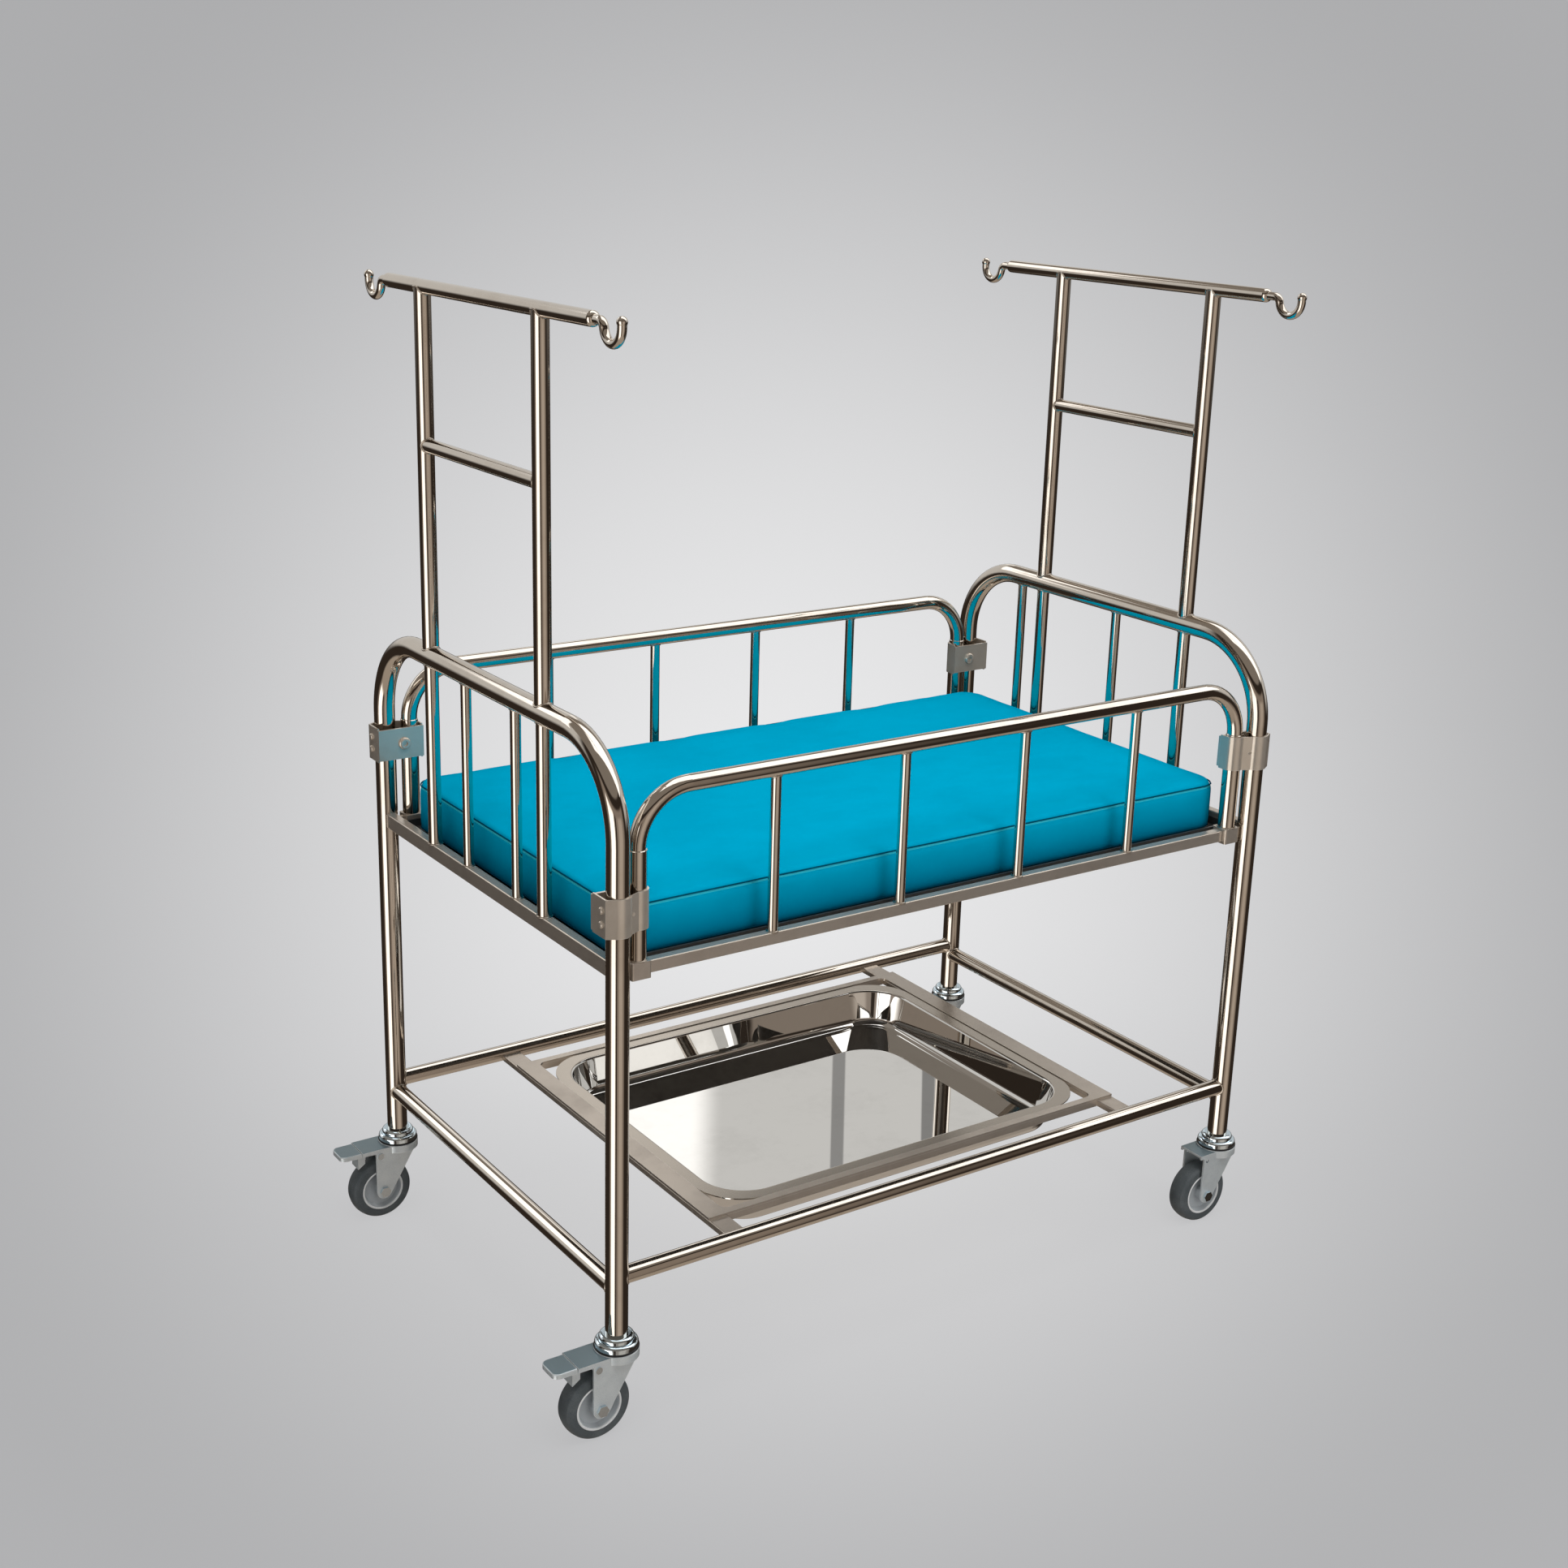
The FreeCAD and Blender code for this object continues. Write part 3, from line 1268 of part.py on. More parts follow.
def brake_pedal(name):
    """Brake pedal: barrel on the pin, arm below the hood, tread plate and shoe."""
    body = new_body(name)
    pin_x = -dim("pedal_pin_back")
    pin_z = dim("pedal_pin_height")
    top = dim("crown_top") - dim("hood_drop")
    wall = dim("pedal_sheet")
    arm_top = top - dim("fork_sheet") - dim("pedal_arm_gap")
    arm_floor = arm_top - dim("pedal_arm_depth")
    joint = -(dim("brake_hood_end") + dim("pedal_gap"))
    heel = joint - dim("pedal_heel")
    tip = -dim("pedal_reach")
    barrel = draw_circle(new_sketch(body, name + "_barrel_ring", "XZ_Plane"),
                         dim("pedal_barrel_dia"), pin_x, pin_z)
    pad(body, name + "_barrel", barrel, dim("pedal_barrel_length"), both_ways=True)
    arm = draw(new_sketch(body, name + "_arm_outline", "XZ_Plane"), [
        (pin_x, arm_floor),
        (pin_x, arm_top),
        (joint, arm_top),
        (joint, top - wall / 2),
        (heel, top - wall / 2),
        (heel, arm_floor),
    ])
    pad(body, name + "_arm", arm, dim("pedal_arm_width"), both_ways=True)
    side = dim("pedal_width") / 2
    soft = dim("pedal_corner")
    plate_points = [
        (joint, -side),
        (joint, side),
        (tip + soft, side),
        (tip, side - soft, soft, 1),
        (tip, soft - side),
        (tip + soft, -side, soft, 1),
    ]
    plate = draw(new_sketch(body, name + "_plate_outline", "XY_Plane", top), plate_points)
    pad(body, name + "_plate", plate, dim("pedal_lip"), downwards=True)
    under = draw(new_sketch(body, name + "_under_outline", "XY_Plane", top - dim("pedal_lip")), [
        (joint + OVERCUT, wall - side),
        (joint + OVERCUT, side - wall),
        (tip + soft, side - wall),
        (tip + wall, side - soft, soft - wall, 1),
        (tip + wall, soft - side),
        (tip + soft, wall - side, soft - wall, 1),
    ])
    pocket(body, name + "_under", under, dim("pedal_lip") - wall, upwards=True)
    web = draw(new_sketch(body, name + "_web_outline", "XZ_Plane"), [
        (heel, arm_floor),
        (joint, arm_floor),
        (joint, top - wall / 2),
        (heel, top - wall / 2),
    ])
    pad(body, name + "_web", web, dim("pedal_arm_width"), both_ways=True)
    grip = dim("wheel_dia") / 2 + dim("shoe_gap")
    near = math.radians(118.0)
    far = math.radians(132.0)
    shoe = draw(new_sketch(body, name + "_shoe_outline", "XZ_Plane"), [
        (grip * math.cos(near) - dim("trail"), AXLE_Z + grip * math.sin(near)),
        (grip * math.cos(near) - dim("trail"), arm_floor + OVERCUT),
        (grip * math.cos(far) - dim("trail"), arm_floor + OVERCUT),
        (grip * math.cos(far) - dim("trail"), AXLE_Z + grip * math.sin(far)),
    ])
    pad(body, name + "_shoe", shoe, dim("shoe_width"), both_ways=True)
    dress(body, "Fillet", name + "_plate_edge", wall * 0.7,
          lambda edge: edge.BoundBox.ZMin > float(top) - 0.01 and edge.BoundBox.XMin < float(joint) - 1.0
          and edge.BoundBox.XMax < float(joint) + 0.01)
    bore = draw_circle(new_sketch(body, name + "_bore_ring", "XZ_Plane"),
                       dim("pedal_pin_dia") + dim("pedal_pin_clearance") * 2, pin_x, pin_z)
    pocket(body, name + "_bore", bore, dim("pedal_barrel_length") + OVERCUT * 2, both_ways=True)
    return body


def casters():
    """All caster pieces: those fixed to the posts, then one set per corner."""
    keep("caster_stems", fuse("stems", each_corner("stem", caster_stem)))
    keep("bearing_caps", fuse("caps", each_corner("cap", bearing_cap)))
    for end_label, end in ENDS.items():
        braked = end_label in BRAKED
        for side_label, side in SIDES.items():
            corner = "%s_%s" % (side_label, end_label)
            x = POST_X * end
            y = POST_Y * side
            hood_end = dim("brake_hood_end") if braked else dim("hood_end")
            keep("wheel_fork_" + corner, place(wheel_fork("fork_" + corner, hood_end), x, y, 0.0))
            wheel_x = x - dim("trail")
            keep("wheel_tyre_" + corner, place(wheel_tyre("tyre_" + corner), wheel_x, y, AXLE_Z))
            keep("wheel_centre_" + corner, place(wheel_centre("centre_" + corner), wheel_x, y, AXLE_Z))
            axle = across_pin("axle_" + corner, dim("axle_dia"), -dim("trail"), AXLE_Z,
                              dim("axle_nut"), dim("axle_nut_rise"), True)
            keep("wheel_axle_" + corner, place(axle, x, y, 0.0))
            if not braked:
                continue
            keep("brake_pedal_" + corner, place(brake_pedal("pedal_" + corner), x, y, 0.0))
            pin = across_pin("pedal_pin_" + corner, dim("pedal_pin_dia"), -dim("pedal_pin_back"),
                             dim("pedal_pin_height"), dim("pedal_pin_head"),
                             dim("pedal_pin_head_rise"), False)
            keep("brake_pin_" + corner, place(pin, x, y, 0.0))


# ---------------------------------------------------------------- assembly

def build():
    """Build every sub-part."""
    for label, end in ENDS.items():
        end_frame_tube(label, end)
        bed_end_bar(label, end)
        end_spindles(label, end)
        stand_uprights(label, end)
        stand_mid_bar(label, end)
        stand_top_bar(label, end)
        stand_hooks(label, end)
        short_stretcher(label, end)
    for label, side in SIDES.items():
        long_stretcher(label, side)
        guard_rail(label, side)
        guard_spindles(label, side)
        guard_bottom_bar(label, side)
    guard_sleeves()
    guard_end_blocks()
    corner_clamps()
    deck_panel()
    mattress()
    tray_cross_bars()
    holder_sheet()
    holder_rails()
    holder_ledge()
    tray()
    casters()
    doc.recompute()


def check_and_write():
    """Stop at any failed object, then write one STEP file for each sub-part."""
    faults = []
    for thing in doc.Objects:
        if "Invalid" in thing.State or "Error" in thing.State:
            faults.append(thing.Name + " " + str(thing.State))
    for node, thing in nodes.items():
        shape = thing.Shape
        if shape.isNull() or not shape.isValid() or not shape.Solids:
            faults.append(node + " has no valid solid")
    if faults:
        sys.exit("\n".join(faults))
    os.makedirs("parts", exist_ok=True)
    for node, thing in nodes.items():
        thing.Shape.exportStep(os.path.join("parts", node + ".step"))
    print(len(nodes), "sub-parts written")


build()
check_and_write()
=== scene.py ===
"""Looks of the hospital bassinet: materials, mattress, welds, caster rings, stage and camera.

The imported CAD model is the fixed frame. Its nodes keep their shape and get procedural
finishes here. The mattress is replaced by a cushion blown up with a cloth simulation.
"""
from __future__ import annotations

import logging
import math
from dataclasses import dataclass, field, replace
from enum import Enum
from typing import ClassVar, Iterable, Sequence

import bpy
import numpy as np
from mathutils import Matrix, Vector
from mathutils.bvhtree import BVHTree

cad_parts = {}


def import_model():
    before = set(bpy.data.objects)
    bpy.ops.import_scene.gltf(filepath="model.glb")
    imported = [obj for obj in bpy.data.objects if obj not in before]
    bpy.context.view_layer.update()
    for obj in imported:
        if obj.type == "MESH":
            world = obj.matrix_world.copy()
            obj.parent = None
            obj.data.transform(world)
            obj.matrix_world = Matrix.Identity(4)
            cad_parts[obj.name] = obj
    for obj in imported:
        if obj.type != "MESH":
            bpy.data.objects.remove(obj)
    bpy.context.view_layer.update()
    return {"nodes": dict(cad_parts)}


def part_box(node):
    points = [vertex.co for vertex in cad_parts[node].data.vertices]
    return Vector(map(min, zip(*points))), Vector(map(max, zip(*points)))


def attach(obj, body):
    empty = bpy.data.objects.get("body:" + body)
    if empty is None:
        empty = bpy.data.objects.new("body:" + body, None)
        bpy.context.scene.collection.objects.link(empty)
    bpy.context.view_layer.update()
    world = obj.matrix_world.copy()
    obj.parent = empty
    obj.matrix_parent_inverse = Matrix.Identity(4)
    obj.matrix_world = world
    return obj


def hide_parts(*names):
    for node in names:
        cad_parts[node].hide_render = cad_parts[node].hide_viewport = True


LOG = logging.getLogger("bassinet")
Colour = tuple[float, float, float]
Point = tuple[float, float, float]
Fade = tuple[float, float]
UP, DOWN = (0.0, 0.0, 1.0), (0.0, 0.0, -1.0)
ALONG_X, ALONG_Y = (1.0, 0.0, 0.0), (0.0, 1.0, 0.0)


class Half(Enum):
    """One of two opposite halves of the cot: its name, and its sign on the axis."""

    @property
    def label(self) -> str:
        """The word used in the names of nodes."""
        return self.value[0]

    @property
    def sign(self) -> float:
        """-1 or +1 along the axis."""
        return self.value[1]


class Ends(Half):
    """The two ends along X."""

    LEFT = ("left", -1.0)
    RIGHT = ("right", 1.0)


class Sides(Half):
    """The two sides along Y."""

    FRONT = ("front", -1.0)
    REAR = ("rear", 1.0)


# ---------------------------------------------------------------- shader graph

MIX_FACTOR, MIX_FIRST, MIX_SECOND, MIX_RESULT = 0, 6, 7, 2  # a Mix node's sockets for colours
EDGE_COSINES = (0.97, 0.86)  # between the true and the rounded normal, on a flat and on an edge
UPWARD_COSINES = (0.75, 0.95)  # between the normal and up, where a face starts to count as top
BEVEL_SAMPLES = 6


class Value:
    """One output of a shader node, with arithmetic that adds Math nodes."""

    def __init__(self, graph: Graph, socket: bpy.types.NodeSocket) -> None:
        """Keep the socket and the graph that it belongs to."""
        self.graph = graph
        self.socket = socket

    def _math(self, kind: str, other: Value | float, swap: bool = False) -> Value:
        """Add a Math node.

        Args:
            kind: its operation.
            other: its second operand.
            swap: whether the operands change places.

        Returns:
            The node's result.
        """
        inputs = {0: other, 1: self} if swap else {0: self, 1: other}
        return self.graph.out("ShaderNodeMath", {"operation": kind}, inputs)

    def __add__(self, other: Value | float) -> Value:
        """Sum."""
        return self._math("ADD", other)

    def __radd__(self, other: float) -> Value:
        """Sum with a number on the left."""
        return self._math("ADD", other, swap=True)

    def __sub__(self, other: Value | float) -> Value:
        """Difference."""
        return self._math("SUBTRACT", other)

    def __rsub__(self, other: float) -> Value:
        """Difference with a number on the left."""
        return self._math("SUBTRACT", other, swap=True)

    def __mul__(self, other: Value | float) -> Value:
        """Product."""
        return self._math("MULTIPLY", other)

    def __rmul__(self, other: float) -> Value:
        """Product with a number on the left."""
        return self._math("MULTIPLY", other, swap=True)

    def __truediv__(self, other: Value | float) -> Value:
        """Quotient."""
        return self._math("DIVIDE", other)

    def __pow__(self, other: Value | float) -> Value:
        """Power."""
        return self._math("POWER", other)

    def size(self) -> Value:
        """The absolute value."""
        return self._math("ABSOLUTE", 0.0)

    def angle(self, beside: Value) -> Value:
        """Angle in radians whose tangent is this value over the other."""
        return self._math("ARCTAN2", beside)

    def clamp(self, low: float, high: float) -> Value:
        """The value held between two limits."""
        return self._math("MAXIMUM", low)._math("MINIMUM", high)

    def inside(self, low: float, high: float, soft: float) -> Value:
        """1 from low to high, fading to 0 over a soft edge outside them."""
        return self.between(low - soft, low) * self.between(high + soft, high)

    def between(self, low: float, high: float) -> Value:
        """Smooth step from 0 at low to 1 at high.

        Args:
            low: value that gives 0.
            high: value that gives 1, which may be the smaller of the two.

        Returns:
            The step.
        """
        return self.graph.out(
            "ShaderNodeMapRange",
            {"interpolation_type": "SMOOTHSTEP"},
            {"Value": self, "From Min": low, "From Max": high},
        )


class Graph:
    """The node tree of one material or world."""

    def __init__(self, owner: bpy.types.Material | bpy.types.World) -> None:
        """Start the owner's node tree afresh.

        Args:
            owner: material or world that the tree belongs to.
        """
        owner.use_nodes = True
        self.tree = owner.node_tree
        self.tree.nodes.clear()
        self._point: Value | None = None

    def node(self, kind: str, settings: dict, inputs: dict) -> bpy.types.Node:
        """Make a node.

        Args:
            kind: the node's type name.
            settings: properties of the node.
            inputs: input name or number to a plain value or another node's Value.

        Returns:
            The new node.
        """
        made = self.tree.nodes.new(kind)
        for name, setting in settings.items():
            setattr(made, name, setting)
        for name, given in inputs.items():
            socket = made.inputs[name]
            if isinstance(given, Value):
                self.tree.links.new(given.socket, socket)
            elif socket.type == "RGBA":
                socket.default_value = (*given, 1.0)
            else:
                socket.default_value = given
        return made

    def out(self, kind: str, settings: dict, inputs: dict, output: str | int = 0) -> Value:
        """Make a node and return one of its outputs."""
        return Value(self, self.node(kind, settings, inputs).outputs[output])

    @property
    def point(self) -> Value:
        """Object coordinates, in metres."""
        if self._point is None:
            self._point = self.out("ShaderNodeTexCoord", {}, {}, "Object")
        return self._point

    def vector(self, kind: str, first: Value, second: Value | Point, output: str | int = 0) -> Value:
        """Result of a Vector Math node of one kind."""
        return self.out("ShaderNodeVectorMath", {"operation": kind}, {0: first, 1: second}, output)

    def stretched(self, x: float, y: float, z: float) -> Value:
        """Object coordinates scaled by a factor on each axis."""
        return self.vector("MULTIPLY", self.point, (x, y, z))

    def axis(self, name: str, way: Value | None = None) -> Value:
        """One coordinate of a vector, or of the point where none is given."""
        return self.out("ShaderNodeSeparateXYZ", {}, {0: way or self.point}, name)

    def noise(
        self, scale: float, detail: float = 3.0, vector: Value | None = None, rough: float = 0.5
    ) -> Value:
        """Fractal noise from 0 to 1.

        Args:
            scale: cells in a metre of the coordinates.
            detail: number of finer layers.
            vector: coordinates to use in place of the object's.
            rough: weight of the finer layers.

        Returns:
            The noise.
        """
        inputs = {"Vector": vector or self.point, "Scale": scale, "Detail": detail, "Roughness": rough}
        return self.out("ShaderNodeTexNoise", {}, inputs)

    def cells(self, scale: float, feature: str = "F1") -> Value:
        """Distance to the nearest cell point."""
        inputs = {"Vector": self.point, "Scale": scale}
        return self.out("ShaderNodeTexVoronoi", {"feature": feature}, inputs)

    def blend(self, factor: Value | float, first: Value | Colour, second: Value | Colour) -> Value:
        """Colour between two: the first at factor 0, the second at 1."""
        inputs = {MIX_FACTOR: factor, MIX_FIRST: first, MIX_SECOND: second}
        return self.out("ShaderNodeMix", {"data_type": "RGBA"}, inputs, MIX_RESULT)

    def bump(
        self, height: Value, strength: float, distance: float, below: Value | None = None
    ) -> Value:
        """Normal of a bumped surface.

        Args:
            height: the pattern that stands up.
            strength: share of the bump that shows.
            distance: how far a height of 1 stands up, in metres.
            below: a normal that is bumped already.

        Returns:
            The normal.
        """
        inputs = {"Height": height, "Strength": strength, "Distance": distance}
        if below is not None:
            inputs["Normal"] = below
        return self.out("ShaderNodeBump", {}, inputs)

    def edges(self, radius: float) -> Value:
        """1 on sharp edges and 0 on flats.

        The mask grows as the cosine between the true normal and a rounded one falls.

        Args:
            radius: how far an edge's rounding reaches, in metres.

        Returns:
            The mask.
        """
        rounded = self.out("ShaderNodeBevel", {"samples": BEVEL_SAMPLES}, {"Radius": radius})
        plain = self.out("ShaderNodeNewGeometry", {}, {}, "Normal")
        return self.vector("DOT_PRODUCT", rounded, plain, "Value").between(*EDGE_COSINES)

    def upward(self) -> Value:
        """1 where the surface faces up, 0 where it stands upright."""
        plain = self.out("ShaderNodeNewGeometry", {}, {}, "Normal")
        return self.axis("Z", plain).between(*UPWARD_COSINES)

    def surface(self, inputs: dict) -> None:
        """End the graph in a Principled shader with these inputs."""
        shader = self.out("ShaderNodeBsdfPrincipled", {}, inputs)
        self.node("ShaderNodeOutputMaterial", {}, {"Surface": shader})


# ---------------------------------------------------------------- finishes


@dataclass(frozen=True)
class Finish:
    """A named surface finish that paints a material."""

    made: ClassVar[dict[str, bpy.types.Material]] = {}
    name: str

    def paint(self, graph: Graph) -> None:
        """Fill the graph of a material.

        Args:
            graph: the empty graph of the finish.
        """
        raise NotImplementedError

    def material(self) -> bpy.types.Material:
        """The finish's material, made once."""
        if self.name not in self.made:
            self.made[self.name] = bpy.data.materials.new(self.name)
            self.paint(Graph(self.made[self.name]))
        return self.made[self.name]


@dataclass(frozen=True)
class Polished(Finish):
    """Polished or satin metal with fine drawn lines and a little handling haze.

    Attributes:
        tint: colour of the clean metal.
        shade: colour where the surface is dull.
        rough: roughness of the clean metal.
        haze: roughness added where it is dull.
        grain: stretch of the drawn lines on each axis.
        cut: depth of the drawn lines.
        metal: share of the light that is mirrored rather than scattered.
        satin_from: height above which the surface is satin and darker.
        satin_fade: height over which it turns satin.
        satin: colour of the satin part.
        satin_rough: roughness added to the satin part.
        edge: radius of the edges that get a painted highlight, or 0 for none.
        edge_highlight: colour of that painted highlight.
    """

    tint: Colour = (0.69, 0.63, 0.56)
    shade: Colour = (0.62, 0.555, 0.485)
    rough: float = 0.045
    haze: float = 0.035
    grain: Point = (90.0, 90.0, 90.0)
    cut: float = 0.002
    metal: float = 1.0
    satin_from: float = 9.0
    satin_fade: float = 0.0004
    satin: Colour = (0.50, 0.45, 0.39)
    satin_rough: float = 0.22
    edge: float = 0.0
    edge_highlight: Colour = (0.86, 0.82, 0.76)

    def paint(self, graph: Graph) -> None:
        """Fill the graph: clouds and smears dull the metal, drawn lines and pits cut it, and the edges
        get a painted highlight.

        Args:
            graph: the empty graph of the finish.
        """
        cloud = graph.noise(9.0, 4.0)
        smear = graph.noise(55.0, 5.0, rough=0.62)
        lines = graph.noise(1.0, 4.0, graph.stretched(*self.grain), rough=0.7)
        pits = graph.cells(420.0).between(0.10, 0.02)
        dull = (cloud * 0.6 + smear * 0.4).between(0.42, 0.68)
        satin = graph.axis("Z").between(self.satin_from, self.satin_from + self.satin_fade)
        colour = graph.blend(dull, self.tint, self.shade)
        colour = graph.blend(satin, colour, self.satin)
        # Painted highlight: the edges are coloured lighter.
        if self.edge:
            colour = graph.blend(graph.edges(self.edge), colour, self.edge_highlight)
        rough = self.rough + dull * self.haze + lines * (self.haze * 0.5) + satin * self.satin_rough
        graph.surface(
            {
                "Metallic": self.metal,
                "Base Color": colour,
                "Roughness": rough,
                "Normal": graph.bump(lines + pits * -0.5, self.cut, 0.0004),
            }
        )


@dataclass(frozen=True)
class Zinc(Finish):
    """Bright zinc plating: cool, cloudy, with fine spangle, a painted shade on the faces that look up
    and a painted highlight on the edges.

    Attributes:
        tint: colour of the plating on upright faces.
        shade: colour where it is dull.
        top: darker colour painted on the faces that look up, a painted shade.
        rim: colour of the painted highlight on the edges.
        rough: roughness of the clean plating.
        haze: roughness added where it is dull.
        metal: share of the light that is mirrored rather than scattered.
        edge: radius of the edges that get the painted highlight.
    """

    tint: Colour = (0.80, 0.85, 0.86)
    shade: Colour = (0.70, 0.75, 0.77)
    top: Colour = (0.22, 0.29, 0.32)
    rim: Colour = (0.98, 0.99, 1.0)
    rough: float = 0.30
    haze: float = 0.12
    metal: float = 0.35
    edge: float = 0.0011

    def paint(self, graph: Graph) -> None:
        """Fill the graph: clouds and spangle dull and bump the plating, the faces that look up get a
        painted shade, and the edges a painted highlight.

        Args:
            graph: the empty graph of the finish.
        """
        cloud = graph.noise(60.0, 4.0)
        spangle = graph.cells(900.0)
        dull = (cloud * 0.75 + spangle * 0.3).between(0.35, 0.75)
        colour = graph.blend(dull, self.tint, self.shade)
        # Painted shade: faces that look up are coloured darker.
        colour = graph.blend(graph.upward(), colour, self.top)
        graph.surface(
            {
                "Metallic": self.metal,
                # Painted highlight: the edges are coloured lighter.
                "Base Color": graph.blend(graph.edges(self.edge), colour, self.rim),
                "Roughness": self.rough + dull * self.haze,
                "Normal": graph.bump(cloud + spangle * 0.3, self.haze * 0.5, 0.0004),
            }
        )


@dataclass(frozen=True)
class Rubber(Finish):
    """Moulded rubber with dust in its grain.

    Attributes:
        tint: colour of the clean rubber.
        dust: colour where dust lies on it.
    """

    tint: Colour = (0.088, 0.103, 0.111)
    dust: Colour = (0.150, 0.165, 0.172)

    def paint(self, graph: Graph) -> None:
        """Fill the graph: dust follows clouds and grit, which also bump the rubber.

        Args:
            graph: the empty graph of the finish.
        """
        grit = graph.noise(700.0, 3.0)
        cloud = graph.noise(45.0, 4.0)
        dirt = (cloud * 0.7 + grit * 0.4).between(0.45, 0.80)
        graph.surface(
            {
                "Base Color": graph.blend(dirt, self.tint, self.dust),
                "Roughness": 0.52 + dirt * 0.25,
                "Specular IOR Level": 0.42,
                "Normal": graph.bump(grit + cloud * 2.0, 0.16, 0.0005),
            }
        )


@dataclass(frozen=True)
class Moulded(Finish):
    """Moulded plastic with a fine texture.

    Attributes:
        tint: colour of most of the plastic.
        shade: colour in its darker clouds.
    """

    tint: Colour = (0.53, 0.56, 0.58)
    shade: Colour = (0.44, 0.47, 0.49)

    def paint(self, graph: Graph) -> None:
        """Fill the graph: slow clouds in the colour, and a fine grain.

        Args:
            graph: the empty graph of the finish.
        """
        grain = graph.noise(1500.0, 2.0)
        cloud = graph.noise(35.0, 3.0)
        graph.surface(
            {
                "Base Color": graph.blend(cloud.between(0.35, 0.75), self.tint, self.shade),
                "Roughness": 0.36 + grain * 0.16,
                "Normal": graph.bump(grain, 0.08, 0.0003),
            }
        )


@dataclass(frozen=True)
class Vinyl(Finish):
    """Soft matt vinyl cloth: pebbled grain and slow pillowing, with a painted shade down the sides and
    a painted highlight below the upper piping.

    Attributes:
        tint: colour of the cloth.
        shade: colour in its worn parts.
        foot: colour at the bottom edge of the sides, a painted shade.
        side: heights from which the colour of the sides fades into that painted shade, and where it
            reaches the foot's.
        highlight_band: colour of the painted highlight below the upper piping.
        highlight_heights: heights between which that painted highlight lies.
        pillow: height of the slow waves over the foam.
    """

    tint: Colour = (0.0, 0.475, 0.760)
    shade: Colour = (0.0, 0.430, 0.695)
    # painted shade at the foot of the sides, and the heights over which it fades in
    foot: Colour = (0.0, 0.265, 0.470)
    side: Fade = (0.588, 0.524)
    # painted highlight band just below the upper piping
    highlight_band: Colour = (0.06, 0.80, 1.0)
    highlight_heights: Fade = (0.5838, 0.5858)
    pillow: float = 1.0

    def paint(self, graph: Graph) -> None:
        """Fill the graph: fine pebbles on slow waves, a painted shade that darkens the sides towards
        the bottom, and a painted highlight band below the upper piping.

        Args:
            graph: the empty graph of the finish.
        """
        pebble = graph.cells(950.0, "SMOOTH_F1")
        fine = graph.noise(2600.0, 2.0)
        slow = graph.noise(7.0, 2.0)
        crease = graph.noise(26.0, 3.0, graph.stretched(1.0, 1.6, 1.0))
        grain = graph.bump(pebble + fine * 0.25, 0.16, 0.00035)
        waves = graph.bump(slow * 1.6 + crease * 0.35, 0.10 * self.pillow, 0.02, grain)
        worn = (slow * 0.6 + crease * 0.4).between(0.35, 0.70)
        # Painted shade: the sides darken towards the bottom.
        low = graph.axis("Z").between(*self.side)
        colour = graph.blend(low, graph.blend(worn, self.tint, self.shade), self.foot)
        # Painted highlight: a lighter band just below the upper piping.
        colour = graph.blend(graph.axis("Z").inside(*self.highlight_heights, 0.0005), colour, self.highlight_band)
        graph.surface(
            {
                "Base Color": colour,
                "Roughness": 0.46 + worn * 0.10 + pebble * 0.06,
                "Specular IOR Level": 0.0,
                "Normal": waves,
            }
        )


@dataclass(frozen=True)
class Stage(Finish):
    """Pale studio paper with a soft pool of light, brightest straight ahead of the camera.

    A point's shade follows how far it lies off the line of sight: with q the way from the
    eye and w its part along that line, it fades smoothly as sqrt(q.q - w.w) / w grows.

    Attributes:
        eye: camera position.
        ahead: direction in which the camera looks.
        bright: colour of the paper at the middle of the pool.
        edge: colour of the paper far from it.
        spread: value of the fraction above at which the pool has faded.
        glow: share of the paper's brightness that is its own light, which nothing shades.
        bounce: colour of the paper for the light that it sends back.
    """

    eye: Point = (0.0, 0.0, 0.0)
    ahead: Point = (0.0, 1.0, 0.0)
    bright: Colour = (0.880, 0.880, 0.888)
    edge: Colour = (0.462, 0.463, 0.472)
    spread: float = 0.4806
    glow: float = 0.85
    bounce: Colour = (0.62, 0.62, 0.62)

    def paint(self, graph: Graph) -> None:
        """Fill the graph: the pool for the camera, and an even colour for other rays.

        Args:
            graph: the empty graph of the finish.
        """
        way = graph.vector("SUBTRACT", graph.point, self.eye)
        depth = graph.vector("DOT_PRODUCT", way, self.ahead, "Value").clamp(0.01, 100.0)
        reach = graph.vector("DOT_PRODUCT", way, way, "Value")
        off_axis = (reach - depth * depth).clamp(0.0, 1e4) ** 0.5 / depth
        fade = (off_axis + graph.noise(2.0) * 0.004).between(0.0, self.spread)
        pool = graph.blend(fade, self.bright, self.edge)
        seen = graph.out("ShaderNodeLightPath", {}, {}, "Is Camera Ray")
        black = (0.0, 0.0, 0.0)
        graph.surface(
            {
                "Base Color": graph.blend(seen, self.bounce, graph.blend(self.glow, pool, black)),
                "Emission Color": graph.blend(seen, black, graph.blend(1.0 - self.glow, pool, black)),
                "Emission Strength": 1.0,
                "Roughness": 1.0,
                "Specular IOR Level": 0.0,
            }
        )


POLISHED = Polished("polished_tube")
SATIN_X = Polished(
    "satin_steel_x", tint=(0.64, 0.565, 0.485), shade=(0.56, 0.49, 0.42), rough=0.20, haze=0.05,
    grain=(14.0, 700.0, 700.0), cut=0.008, metal=0.62, edge=0.0007,
)
SATIN_Y = replace(SATIN_X, name="satin_steel_y", grain=(700.0, 14.0, 700.0))
